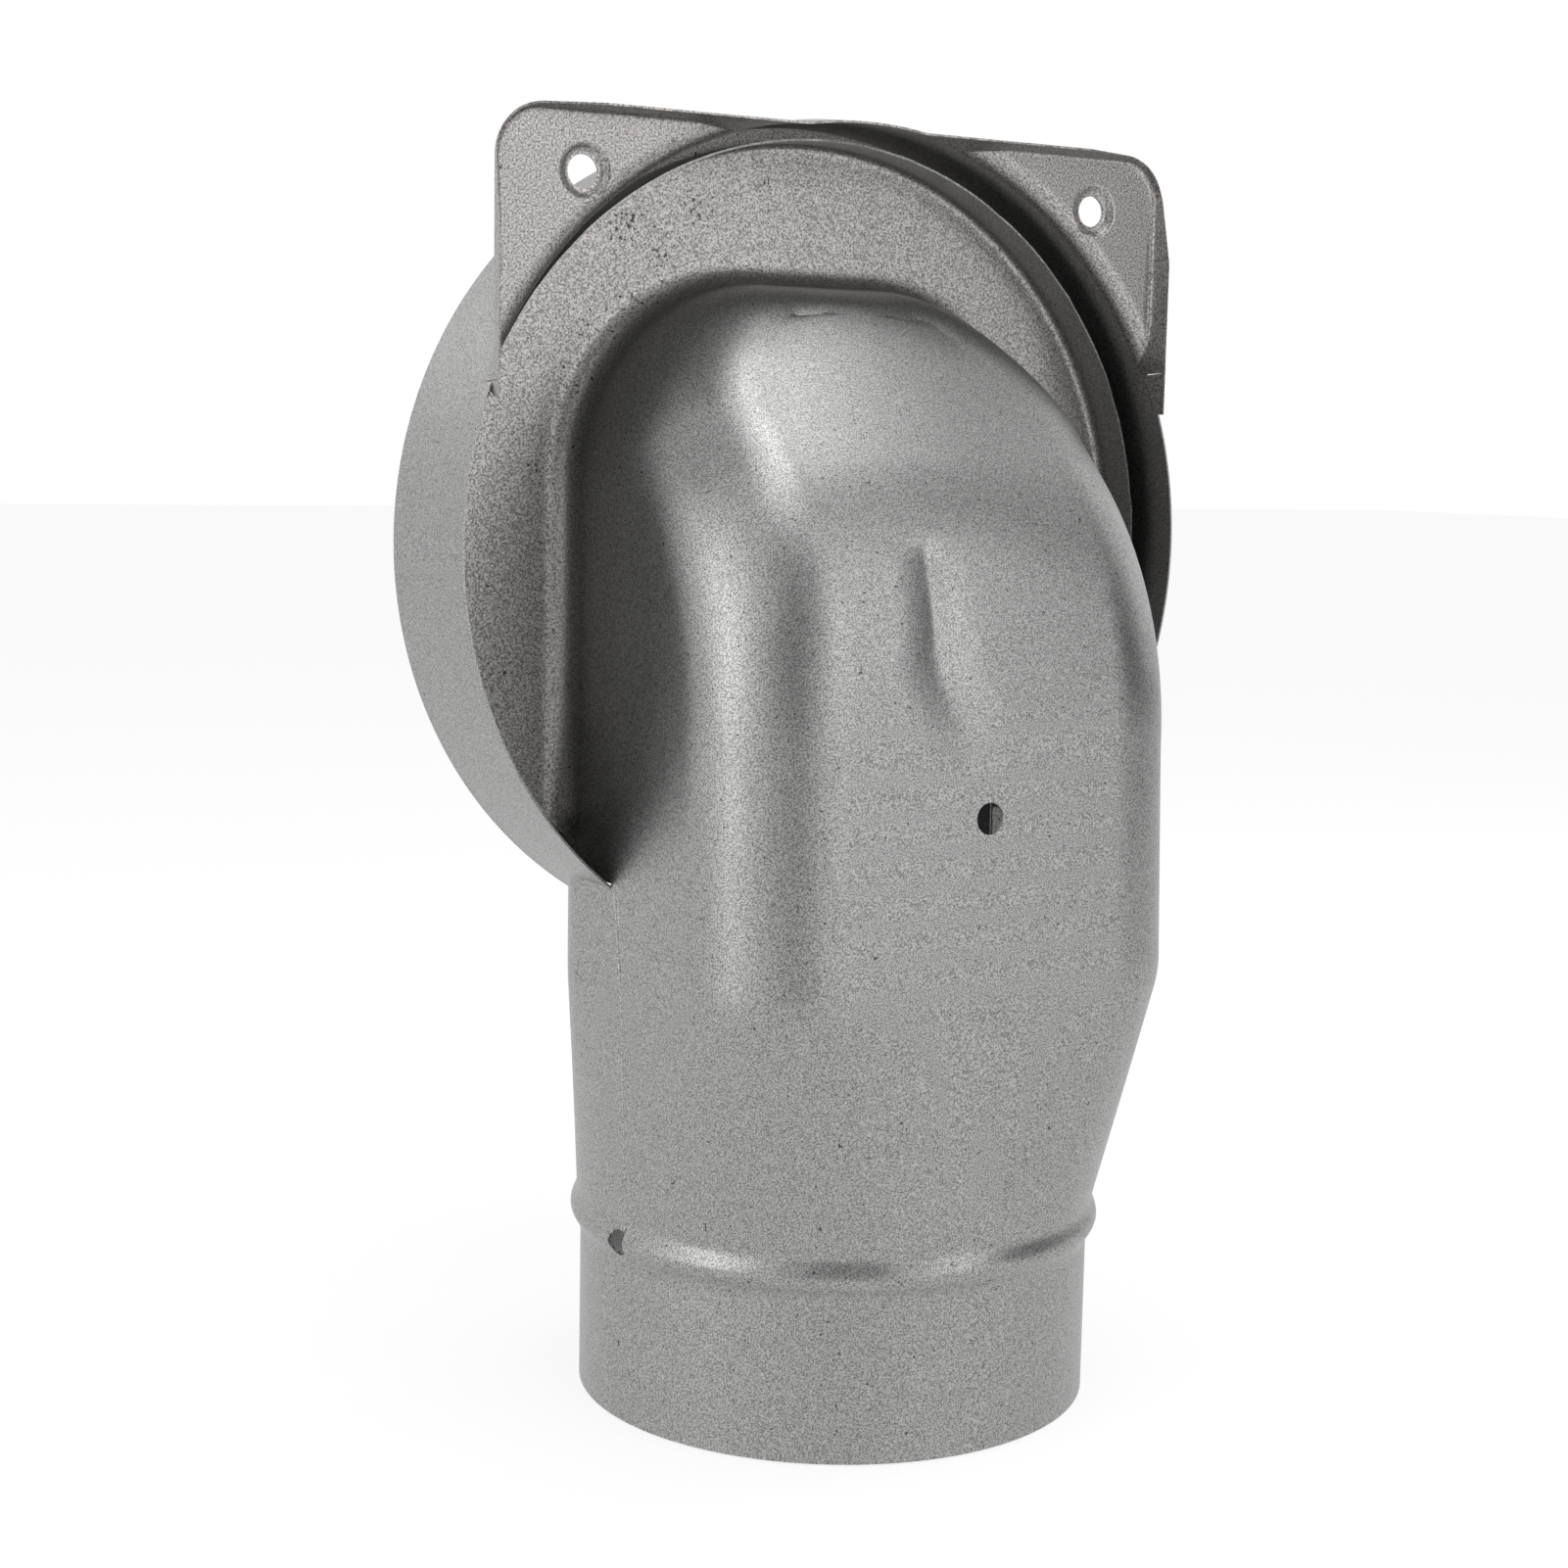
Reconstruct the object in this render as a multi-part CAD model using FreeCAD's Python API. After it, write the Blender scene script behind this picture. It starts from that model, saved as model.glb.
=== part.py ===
import FreeCAD, Part
import math
import os

# Right-angle dryer vent connector: two pressed steel shells lapped together round a 4 inch spigot.
# Frame: the spigot axis is Z, its open end lies on z = 0, and the pressed front faces -Y.
# The front shell is the elbow's outside, with a round disc behind it.
# The rear shell is the back half of the tube, the wide round collar and the two ears.

Vector = FreeCAD.Vector

# Sheet, and the air left between the shells where they lap
sheet = 0.4
lap_gap = 0.15

# Spigot, a male end for a 4 inch duct, and the slightly wider neck above its bead
spigot_radius = 50.0
bead_height = 34.5
bead_rise = 2.0
bead_half_width = 3.6
neck_radius = 50.8
flare_start = 38.6

# Elbow of the front shell, outside sizes
elbow_half_width = 50.3
elbow_shoulder = 85.0
elbow_front_low = 50.5
elbow_upright = 138.0
elbow_front_high = 48.4
elbow_edge_radius = 21.4
roof_corner_height = 160.4
roof_angle = 45.0
roof_bend_radius = 52.0
elbow_top = 213.4
elbow_top_corner = 37.0
groove_radius = 5.4

# Round disc of the front shell and its rim turned forward
disc_depth = 18.9
disc_radius = 77.4
disc_rim_height = 9.4
disc_rim_bend = 1.6

# Collar of the rear shell, a short wide sleeve that is open at the back
collar_height = 163.8
collar_radius = 80.5
collar_front = 0.3
collar_back = 31.2
crown_drop = 1.0

# Back half of the tube, whose depth runs out to the collar's back edge
rear_shoulder = 83.0
rear_corner_radius = 17.5

# Ears: two plates in one with a lip turned forward all round their outer edges
ear_half_width = 73.7
ear_shift = -1.2
ear_top = 241.4
ear_bottom = 190.7
ear_corner_radius = 9.0
ear_bend_radius = 4.0
lip_height = 4.3
lip_lean = 11.0
lip_bend = 1.0
lip_corner_height = 1.8
lip_corner_run = 10.0

# Holes
ear_hole_spacing = 114.0
ear_hole_height = 230.7
ear_hole_radius = 3.0
ear_dimple_radius = 5.0
ear_dimple_depth = 1.2
front_hole_radius = 2.9
front_hole_height = 117.7
side_hole_radius = 2.5
side_hole_height = 35.0
side_hole_forward = 5.6

# Lap: how far the front shell's side edge stands forward of the spigot axis at four heights,
# how far the rear shell runs on under it, the step that sets it in there so that both shells
# are flush outside, and the step back to the collar at its top
seam_heights = [0.0, 48.0, 77.0, 101.0]
seam_forward = [9.2, 7.2, 5.1, 2.4]
seam_overlap = 6.0
seam_gap = 0.15
joggle_run = 0.6
seam_step_height = 14.0
seam_step_slope = 11.0
seam_step_recess = 1.2
flank_clearance = 0.5

# Tool solids run this far past what they cut
overrun = 30.0

# In the lap the rear shell's skin lies this far inside the front shell's
lap_inset = sheet + lap_gap

forward = Vector(0, -1, 0)
front = -1
rear = 1
half_square = math.sqrt(0.5)


def line(start, end):
    return Part.LineSegment(start, end).toShape()


def arc(start, middle, end):
    return Part.Arc(start, middle, end).toShape()


def box(x_low, x_high, y_low, y_high, z_low, z_high):
    return Part.makeBox(x_high - x_low, y_high - y_low, z_high - z_low, Vector(x_low, y_low, z_low))


def drum(radius, y_low, y_high):
    """Cylinder about the collar's axis, which runs along Y."""
    return Part.makeCylinder(radius, y_high - y_low, Vector(0, y_low, collar_height), -forward)


def side_prism(outline):
    """Solid as wide as the object from a closed outline of (y, z) points."""
    reach = collar_radius + overrun
    points = [Vector(-reach, y, z) for y, z in outline]
    return Part.Face(Part.makePolygon(points + [points[0]])).extrude(Vector(2 * reach, 0, 0))


def tube_section(z, half_width, depth, corner, side, back=0.0):
    """Half section of the tube at one height: flank, round corner, flat, corner, flank, and a closing line."""
    flat = half_width - corner
    turn = side * (depth - corner)
    mid = corner * half_square
    a = Vector(-half_width, back, z)
    b = Vector(-half_width, turn, z)
    c = Vector(-flat, side * depth, z)
    d = Vector(flat, side * depth, z)
    e = Vector(half_width, turn, z)
    f = Vector(half_width, back, z)
    left_mid = Vector(-flat - mid, turn + side * mid, z)
    right_mid = Vector(flat + mid, turn + side * mid, z)
    return Part.Wire([line(a, b), arc(b, left_mid, c), line(c, d), arc(d, right_mid, e), line(e, f), line(f, a)])


def round_section(z, radius, side):
    """Half circle cut into the same five edges as tube_section, so that the two can be lofted."""
    split = [90, 79, 68, 45, 22, 0, -22, -45, -68, -79, -90]
    points = [Vector(-radius * math.sin(math.radians(a)), side * radius * math.cos(math.radians(a)), z)
              for a in split]
    arcs = [arc(points[i], points[i + 1], points[i + 2]) for i in range(0, len(points) - 1, 2)]
    return Part.Wire(arcs + [line(points[-1], points[0])])


def tube_half_width(z, inset):
    """Half the tube's width at a height, which changes evenly from the neck to the elbow's shoulder."""
    share = min(1.0, (z - flare_start) / (elbow_shoulder - flare_start))
    return neck_radius + share * (elbow_half_width - neck_radius) - inset


def spigot(inset):
    """The spigot with its rolled bead and the neck above it, turned about Z."""
    radius = spigot_radius - inset
    neck = neck_radius - inset
    roll = (bead_half_width ** 2 + bead_rise ** 2) / (2 * bead_rise) - inset
    roll_centre = radius + bead_rise - roll
    below = math.sqrt(roll ** 2 - (radius - roll_centre) ** 2)
    above = math.sqrt(roll ** 2 - (neck - roll_centre) ** 2)
    base = Vector(0, 0, 0)
    rim = Vector(radius, 0, 0)
    bead_start = Vector(radius, 0, bead_height - below)
    bead_crest = Vector(radius + bead_rise, 0, bead_height)
    bead_end = Vector(neck, 0, bead_height + above)
    top = Vector(neck, 0, flare_start)
    centre = Vector(0, 0, flare_start)
    outline = Part.Wire([line(base, rim), line(rim, bead_start), arc(bead_start, bead_crest, bead_end),
                         line(bead_end, top), line(top, centre), line(centre, base)])
    return Part.Face(outline).revolve(base, Vector(0, 0, 1), 360)


def front_flare(inset):
    """Where the round spigot spreads into the elbow's flat front."""
    return Part.makeLoft([round_section(flare_start, neck_radius - inset, front),
                          tube_section(elbow_shoulder, elbow_half_width - inset, elbow_front_low - inset,
                                       elbow_edge_radius - inset, front)], True, True)


def front_wall(inset, back):
    """The elbow's upright part, whose front leans back a little up to its full height."""
    half_width = elbow_half_width - inset
    corner = elbow_edge_radius - inset
    return Part.makeLoft([tube_section(elbow_shoulder, half_width, elbow_front_low - inset, corner, front, back),
                          tube_section(elbow_upright, half_width, elbow_front_high - inset, corner, front, back)],
                         True, True)


def elbow_head(inset, back):
    """The elbow's top: a side profile and a front profile crossed, with the edges between them rounded."""
    half = elbow_half_width - inset
    depth = elbow_front_high - inset
    top = elbow_top - inset
    bend = roof_bend_radius - inset
    slope = math.radians(roof_angle)
    knee = Vector(0, -depth, roof_corner_height - inset * math.tan(slope / 2))
    peak = top + overrun
    foot = Vector(0, -depth, elbow_upright)
    ridge = Vector(0, knee.y + (peak - knee.z) / math.tan(slope), peak)
    before = knee - Vector(0, 0, bend * math.tan(slope / 2))
    after = knee + (ridge - knee).normalize() * (bend * math.tan(slope / 2))
    inward = ((before + after) * 0.5 - knee).normalize()
    crown = knee + inward * (bend / math.cos(slope / 2) - bend)
    rear_high = Vector(0, back, peak)
    rear_low = Vector(0, back, elbow_upright)
    profile = Part.Wire([line(foot, before), arc(before, crown, after), line(after, ridge),
                         line(ridge, rear_high), line(rear_high, rear_low), line(rear_low, foot)])
    profile.translate(Vector(-half - overrun, 0, 0))
    from_side = Part.Face(profile).extrude(Vector(2 * (half + overrun), 0, 0))
    from_front = box(-half, half, -depth - overrun, back, elbow_upright, top)
    shoulders = [edge for edge in from_front.Edges if edge.CenterOfMass.z > top - 1
                 and abs(edge.CenterOfMass.x) > half - 1]
    from_front = from_front.makeFillet(elbow_top_corner - inset, shoulders)
    body = from_side.common(from_front).removeSplitter()
    rim = []
    for edge in body.Edges:
        centre = edge.CenterOfMass
        open_end = centre.y > back - 1 or centre.z < elbow_upright + 0.1
        across = abs(centre.x) < 1 and centre.z < top - 1
        runs_back = all(abs(edge.tangentAt(t).y) > 0.99 for t in (edge.FirstParameter, edge.LastParameter))
        if not (open_end or across or runs_back):
            rim.append(edge)
    return body.makeFillet(elbow_edge_radius - inset, rim)


def front_form(inset):
    """Front shell's skin moved in by inset, filled solid behind, with the groove round its foot at the disc."""
    back = disc_depth + overrun
    plate = disc_depth + inset
    reach = disc_radius + overrun
    tower = front_wall(inset, back).fuse(elbow_head(inset, back)).removeSplitter()
    slab = box(-reach, reach, plate, back, elbow_shoulder, collar_height + reach)
    body = tower.fuse(slab).removeSplitter()
    foot = []
    for edge in body.Edges:
        ends = [edge.valueAt(t) for t in (edge.FirstParameter, edge.LastParameter)]
        on_plate = all(abs(p.y - plate) < 0.01 for p in ends) and abs(edge.CenterOfMass.y - plate) < 0.01
        if on_plate and all(abs(p.x) < elbow_half_width + 1 for p in ends) and edge.CenterOfMass.z < elbow_top + 1:
            foot.append(edge)
    body = body.makeFillet(groove_radius + inset, foot)
    return spigot(inset).fuse([front_flare(inset), body])


def disc_rim():
    """The disc's edge with its rim turned forward, left open where the tube passes below the disc."""
    outside = disc_radius
    inside = disc_radius - sheet
    turn = inside - disc_rim_bend
    raw_edge = disc_depth - disc_rim_height
    bend_start = disc_depth - disc_rim_bend
    inner_mid = disc_rim_bend * half_square
    outer_mid = (disc_rim_bend + sheet) * half_square
    a = Vector(turn, disc_depth, 0)
    b = Vector(turn, disc_depth + sheet, 0)
    c = Vector(outside, bend_start, 0)
    d = Vector(outside, raw_edge, 0)
    e = Vector(inside, raw_edge, 0)
    f = Vector(inside, bend_start, 0)
    outer_turn = Vector(turn + outer_mid, bend_start + outer_mid, 0)
    inner_turn = Vector(turn + inner_mid, bend_start + inner_mid, 0)
    outline = Part.Wire([line(a, b), arc(b, outer_turn, c), line(c, d), line(d, e), line(e, f),
                         arc(f, inner_turn, a)])
    ring = Part.Face(outline).revolve(Vector(0, 0, 0), Vector(0, 1, 0), 360)
    ring.translate(Vector(0, 0, collar_height))
    half = elbow_half_width + groove_radius
    below = box(-half, half, -overrun, disc_depth + overrun, collar_height - disc_radius - overrun, collar_height)
    return ring.cut(below)


def seam_line(shift):
    """Points (y, z) of the lap from the bottom up, moved forward by shift."""
    return [(-distance - shift, height) for height, distance in zip(seam_heights, seam_forward)]


def flank_foot(radius):
    """Height at which the elbow's flank comes clear of the collar's inner wall, with a little to spare."""
    return collar_height - math.sqrt(radius ** 2 - elbow_half_width ** 2) + flank_clearance


def front_shell():
    """The pressed elbow with its disc, cut off along the lap seam."""
    skin = front_form(0).cut(front_form(sheet))
    reach = disc_radius - sheet - disc_rim_bend
    far = disc_radius + overrun
    half = elbow_half_width + sheet
    kept = drum(reach, -far, far).fuse(box(-half, half, -far, far, -overrun, collar_height))
    shell = skin.common(kept).fuse(disc_rim())
    seam = seam_line(0)
    low_y, high_y = seam[0][0], seam[-1][0]
    foot = flank_foot(collar_radius - sheet)
    behind_seam = side_prism([(far, -overrun), (low_y, -overrun)] + seam + [(high_y, foot), (far, foot)])
    behind_disc = box(-far, far, disc_depth + sheet, far, -overrun, collar_height + far)
    hole = Part.makeCylinder(front_hole_radius, 2 * overrun,
                             Vector(0, overrun - elbow_front_high, front_hole_height), forward)
    return shell.cut([behind_seam, behind_disc, hole]).removeSplitter()


def ear_outline(y, grow):
    """Outline of the ears at depth y: square below, round corners above, and wider towards the lip's edge."""
    spread = grow - y * math.tan(math.radians(lip_lean))
    half = ear_half_width - sheet + spread
    left = ear_shift - half
    right = ear_shift + half
    top = ear_top - sheet + spread
    radius = ear_corner_radius - sheet + spread
    mid = radius * (1 - half_square)
    a = Vector(left, y, ear_bottom)
    b = Vector(left, y, top - radius)
    c = Vector(left + radius, y, top)
    d = Vector(right - radius, y, top)
    e = Vector(right, y, top - radius)
    f = Vector(right, y, ear_bottom)
    left_mid = Vector(left + mid, y, top - mid)
    right_mid = Vector(right - mid, y, top - mid)
    return Part.Wire([line(a, b), arc(b, left_mid, c), line(c, d), arc(d, right_mid, e), line(e, f), line(f, a)])


def ear_tray(floor, rim, grow, bend):
    """Tray from its floor at y = floor out to y = rim, with the edge round the floor bent."""
    tray = Part.makeLoft([ear_outline(floor, grow), ear_outline(rim, grow)], True, True)
    edges = [edge for edge in tray.Edges if abs(edge.CenterOfMass.y - floor) < 0.01
             and edge.CenterOfMass.z > ear_bottom + 0.1]
    return tray.makeFillet(bend, edges)


def ear_bend(offset):
    """The rounded turn from the ears' plane back into the collar, offset outwards from the inner face."""
    turn = ear_bend_radius
    outer = collar_radius - sheet + turn
    radius = turn - offset
    mid = radius * half_square
    a = Vector(0, offset, 0)
    b = Vector(outer, offset, 0)
    c = Vector(outer - radius, turn, 0)
    d = Vector(0, turn, 0)
    bend_mid = Vector(outer - mid, turn - mid, 0)
    outline = Part.Wire([line(a, b), arc(b, bend_mid, c), line(c, d), line(d, a)])
    body = Part.Face(outline).revolve(Vector(0, 0, 0), Vector(0, 1, 0), 360)
    body.translate(Vector(0, 0, collar_height))
    within = Part.Face(ear_outline(0, offset)).extrude(Vector(0, turn, 0))
    return body.common(within)


def rear_tube(inset):
    """Back half of the tube: round at the spigot, spreading to a flat back at the collar's back edge."""
    depth = collar_back - inset
    corner = rear_corner_radius - inset
    sections = [round_section(flare_start, neck_radius - inset, rear)]
    for z in (rear_shoulder, elbow_shoulder, collar_height - elbow_half_width):
        sections.append(tube_section(z, tube_half_width(z, inset), depth, corner, rear))
    return Part.makeLoft(sections, True, True)


def lap_form(inset):
    """The round tube and the elbow's front, filled solid, as the rear shell follows them in the lap."""
    return spigot(inset).fuse([front_flare(inset), front_wall(inset, 0)])


def ahead_of_seam(shift, foot):
    """Everything in front of the lap's edge moved back by shift, up to the height where the elbow stands clear."""
    far = collar_radius + overrun
    edge = seam_line(-shift)
    return side_prism([(-far, -overrun), (edge[0][0], -overrun)] + edge + [(edge[-1][0], foot), (-far, foot)])


def dimples(offset):
    """Conical dimples pressed back round the ear holes."""
    cones = []
    for side in (-1, 1):
        centre = Vector(side * ear_hole_spacing / 2, offset, ear_hole_height)
        wall = offset * math.tan(math.radians(22.5))
        cones.append(Part.makeCone(ear_dimple_radius + wall, ear_dimple_radius - ear_dimple_depth + wall,
                                   ear_dimple_depth, centre, -forward))
    return cones


def lip_corner(side):
    """Wedge that takes the lip's edge down across an ear's corner, to lip_corner_height at the middle."""
    across = Vector(side * half_square, 0, half_square)
    half = ear_half_width - sheet
    bend_centre = Vector(ear_shift + side * (half - ear_corner_radius), 0, ear_top - sheet - ear_corner_radius)
    middle = bend_centre + across * (ear_corner_radius + sheet)
    depth = lip_height - lip_corner_height
    start = middle - across * lip_corner_run + forward * lip_height
    slope_end = middle + across * lip_corner_run + forward * (lip_height - 2 * depth)
    far_end = slope_end + forward * overrun
    far_start = start + forward * overrun
    width = Vector(side * half_square, 0, -half_square) * overrun
    corners = [point - width * 0.5 for point in (start, slope_end, far_end, far_start)]
    return Part.Face(Part.makePolygon(corners + [corners[0]])).extrude(width)


def collar_crown(radius):
    """The collar's top between the ears, which runs forward as far as the lip and sinks a little on the way."""
    half = ear_half_width
    cone = Part.makeCone(radius - crown_drop, radius, lip_height + collar_front,
                         Vector(0, -lip_height, collar_height), -forward)
    return cone.common(box(-half, half, -lip_height, collar_front, ear_top - ear_corner_radius, ear_top + overrun))


def rear_shell():
    """The back of the tube, the collar and the ears, cut off where they run under the front shell."""
    bore = collar_radius - sheet
    far = collar_radius + overrun
    step_top = flank_foot(bore)
    hollow = lap_form(sheet).fuse(rear_tube(sheet)).cut(ahead_of_seam(seam_gap + joggle_run, step_top))
    past_lips = drum(bore, -far, far).cut(box(-far, far, -far, -lip_bend, ear_bottom, ear_top + overrun))
    ear_hollow = [ear_tray(0, -far, 0, lip_bend), ear_bend(0)] + dimples(0)
    inner = hollow.fuse([lap_form(lap_inset + sheet), past_lips, collar_crown(bore)] + ear_hollow)
    lip_sheet = sheet / math.cos(math.radians(lip_lean))
    ear_skin = [ear_tray(sheet, -lip_height, lip_sheet, lip_bend + sheet), ear_bend(sheet)] + dimples(sheet)
    collar = [drum(collar_radius, collar_front, collar_back), collar_crown(collar_radius)]
    tube = lap_form(0).fuse(rear_tube(0)).cut(ahead_of_seam(seam_gap, step_top))
    outer = tube.fuse([lap_form(lap_inset)] + collar + ear_skin)
    edge = seam_line(seam_overlap)[:-1]
    low_y, step_y = edge[0][0], edge[-1][0]
    step_foot = step_top - seam_step_height
    step_back = collar_front + seam_step_recess
    ahead = side_prism([(-far, -overrun), (low_y, -overrun)] + edge
                       + [(step_y, step_foot), (step_back, step_foot + seam_step_slope), (step_back, step_top),
                          (-far, step_top)])
    ear_holes = [Part.makeCylinder(ear_hole_radius, 2 * overrun,
                                   Vector(side * ear_hole_spacing / 2, overrun, ear_hole_height), forward)
                 for side in (-1, 1)]
    side_hole = Part.makeCylinder(side_hole_radius, overrun,
                                  Vector(-spigot_radius - overrun / 2, -side_hole_forward, side_hole_height),
                                  Vector(1, 0, 0))
    return outer.cut([inner, ahead, side_hole, lip_corner(-1), lip_corner(1)] + ear_holes).removeSplitter()


os.makedirs("parts", exist_ok=True)
for name, shell in (("front_shell", front_shell()), ("rear_shell", rear_shell())):
    shell.exportStep("parts/" + name + ".step")
    print(name, "solids", len(shell.Solids), "valid", shell.isValid(), "volume mm3", round(shell.Volume, 1))
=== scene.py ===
import bmesh
import bpy
import math
import numpy as np
from mathutils import Matrix, Vector


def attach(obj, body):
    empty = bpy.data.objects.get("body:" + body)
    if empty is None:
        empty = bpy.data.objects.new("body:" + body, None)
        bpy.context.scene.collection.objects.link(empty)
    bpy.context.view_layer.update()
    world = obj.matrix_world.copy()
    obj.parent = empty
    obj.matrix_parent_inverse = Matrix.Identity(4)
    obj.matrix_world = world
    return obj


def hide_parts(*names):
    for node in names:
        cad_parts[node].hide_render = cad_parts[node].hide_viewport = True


# Dryer vent connector: two pressed steel shells, drawn here as smooth sheets over the CAD solids.
# The shapes are worked out in millimetres and put into the meshes in metres.

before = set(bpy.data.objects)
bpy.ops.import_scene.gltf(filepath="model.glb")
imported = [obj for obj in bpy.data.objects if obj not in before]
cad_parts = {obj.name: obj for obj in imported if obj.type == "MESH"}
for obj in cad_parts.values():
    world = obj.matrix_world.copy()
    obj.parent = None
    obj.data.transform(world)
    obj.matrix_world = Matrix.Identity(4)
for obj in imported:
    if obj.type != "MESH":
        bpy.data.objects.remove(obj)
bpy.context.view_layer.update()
print("frame loaded")

# Sizes that both shells share
tubeSettings = {
    "spigotRadius": 50.0,     # the duct end
    "neckRadius": 50.8,       # just above the bead
    "neckStart": 31.0,        # height at which the tube begins to widen to its neck
    "neckRun": 7.0,
    "beadHeight": 34.5,
    "beadRise": 1.55,         # on top of half the neck's step
    "beadHalfWidth": 4.4,
    "flareStart": 38.6,
    "shoulder": 85.0,         # where the flare has reached the elbow's section
    "softBend": 3.0,          # how far the flare's two bends are spread
    "halfWidth": 50.3,        # of the elbow
    "frontDepth": 50.5,       # of the elbow at the shoulder
    "edgeRadius": 21.4,       # of the elbow's front edges
    "flankEnd": 68.0,         # degrees from straight ahead at which the section's flank turns into its edge
    "faceEnd": 22.0,          # and at which the edge turns into its flat face
    "seamHeights": [0.0, 48.0, 77.0, 101.0],
    "seamForward": [9.2, 7.2, 5.1, 2.4],     # how far ahead of the axis the front shell's side edge lies
    "foot": 101.9,            # above this the front shell runs back to its disc
    "sheet": 0.4,
}
collarSettings = {
    "height": 163.8,          # of its axis
    "radius": 80.1,           # inside
    "back": 31.2,             # depths at which its back and its front edge lie
    "front": 0.3,
}
skinSettings = {
    "metres": 0.001,          # in a millimetre
    "weld": 0.000004,         # metres within which two patches' points become one
    "sharpAngle": 38.0,       # degrees between faces over which an edge stays crisp
}


def smooth(t):
    # 3 t^2 - 2 t^3 between 0 and 1, level on both sides
    t = np.clip(t, 0.0, 1.0)
    return t * t * (3.0 - 2.0 * t)


def softRise(z, start, end, soft):
    # straight rise from 0 at start to 1 at end, averaged over soft on both sides of each height
    def area(t):
        return np.where(t < 0.0, 0.0, np.where(t < 1.0, t * t / 2.0, t - 0.5))
    t = (z - start) / (end - start)
    h = soft / (end - start)
    return (area(t + h) - area(t - h)) / (2.0 * h)


def spaced(*stops):
    # places from pairs (end, step): spaced(0, (28, 2), (41, 0.6)) runs from 0 to 28 by about 2, then on to 41
    values = [np.array([stops[0]], float)]
    for end, step in stops[1:]:
        start = values[-1][-1]
        count = max(1, int(round(abs(end - start) / step)))
        values.append(np.linspace(start, end, count + 1)[1:])
    return np.concatenate(values)


def tubeRadius(z):
    # the spigot's radius, a smooth step to the wider neck, and on it the bead as a squared cosine
    s = tubeSettings
    neck = (s["neckRadius"] - s["spigotRadius"]) * smooth((z - s["neckStart"]) / s["neckRun"])
    wave = np.clip((z - s["beadHeight"]) / s["beadHalfWidth"], -1.0, 1.0)
    return s["spigotRadius"] + neck + s["beadRise"] * np.cos(wave * math.pi / 2.0) ** 2


def flareShare(z):
    # 0 on the round tube and 1 on the elbow, a straight rise with soft bends between them
    s = tubeSettings
    return softRise(z, s["flareStart"], s["shoulder"], s["softBend"])


def neckExtra(z):
    # how much wider than the elbow the tube's flank is: the neck's excess, gone at the shoulder
    s = tubeSettings
    return (s["neckRadius"] - s["halfWidth"]) * (1.0 - flareShare(z))


def seamDepth(z):
    # y of the front shell's side edge: a straight line between the measured heights
    s = tubeSettings
    return -np.interp(z, s["seamHeights"], s["seamForward"])


def flankAngle(y, z, ballDepth):
    # the angle on the section, 90 on the spigot's axis plane, at which the flank has the depth y:
    # the mix of r sin(a) on the circle and a straight run on the elbow, solved in four steps
    share = flareShare(z)
    radius = tubeRadius(z)
    span = 90.0 - tubeSettings["flankEnd"]
    a = np.full(np.broadcast(y, z).shape, 5.0)
    for _ in range(4):
        perDegree = (1.0 - share) * radius * np.sin(np.radians(a)) / a + share * -ballDepth / span
        a = np.maximum(-y / perDegree, 1e-4)
    return 90.0 - a


def flankPoint(theta, z, ballDepth, halfWidth):
    # a point of the tube's right flank: circle (r sin, -r cos) and straight elbow flank, mixed by the flare
    share = flareShare(z)
    radius = tubeRadius(z)
    turn = np.radians(theta)
    span = 90.0 - tubeSettings["flankEnd"]
    x = (1.0 - share) * radius * np.sin(turn) + share * halfWidth
    y = -(1.0 - share) * radius * np.cos(turn) + share * ballDepth * (90.0 - theta) / span
    return x, y


def joinedSkin(name, patches):
    # Each patch is (points, kept): a grid of skin points in mm and which of its cells are kept.
    # Four neighbours in the grid make a cell, and patches are joined where their points meet.
    points, quads, count = [], [], 0
    for grid, kept in patches:
        rows, columns = grid.shape[:2]
        corner = (np.arange(rows - 1)[:, None] * columns + np.arange(columns - 1)[None, :]) + count
        cells = np.stack([corner, corner + 1, corner + columns + 1, corner + columns], axis=-1)
        quads.append(cells.reshape(-1, 4) if kept is None else cells[kept])
        points.append(grid.reshape(-1, 3))
        count += rows * columns
    mesh = bpy.data.meshes.new(name + "Skin")
    mesh.from_pydata(np.concatenate(points) * skinSettings["metres"], [], np.concatenate(quads))
    work = bmesh.new()
    work.from_mesh(mesh)
    bmesh.ops.remove_doubles(work, verts=work.verts, dist=skinSettings["weld"])
    bmesh.ops.delete(work, geom=[v for v in work.verts if not v.link_faces], context="VERTS")
    work.to_mesh(mesh)
    work.free()
    return mesh


def sheetPiece(name, patches, thickness):
    # the joined skin with a second skin laid thickness behind it and its edges closed, kept above the floor
    skin = bpy.data.objects.new(name + "Skin", joinedSkin(name, patches))
    bpy.context.scene.collection.objects.link(skin)
    wall = skin.modifiers.new("sheet", "SOLIDIFY")
    wall.thickness = thickness * skinSettings["metres"]
    wall.offset = -1.0
    bpy.context.view_layer.update()
    solid = bpy.data.meshes.new_from_object(skin.evaluated_get(bpy.context.evaluated_depsgraph_get()))
    bpy.data.objects.remove(skin)
    solid.name = name
    spots = np.empty(len(solid.vertices) * 3)
    solid.vertices.foreach_get("co", spots)
    spots[2::3] = np.maximum(spots[2::3], 0.0)
    solid.vertices.foreach_set("co", spots)
    solid.polygons.foreach_set("use_smooth", np.ones(len(solid.polygons), bool))
    solid.set_sharp_from_angle(angle=math.radians(skinSettings["sharpAngle"]))
    piece = bpy.data.objects.new(name, solid)
    bpy.context.scene.collection.objects.link(piece)
    triangles = sum(len(p.vertices) - 2 for p in solid.polygons)
    print(name, "faces", len(solid.polygons), "triangles", triangles)
    return piece


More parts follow.
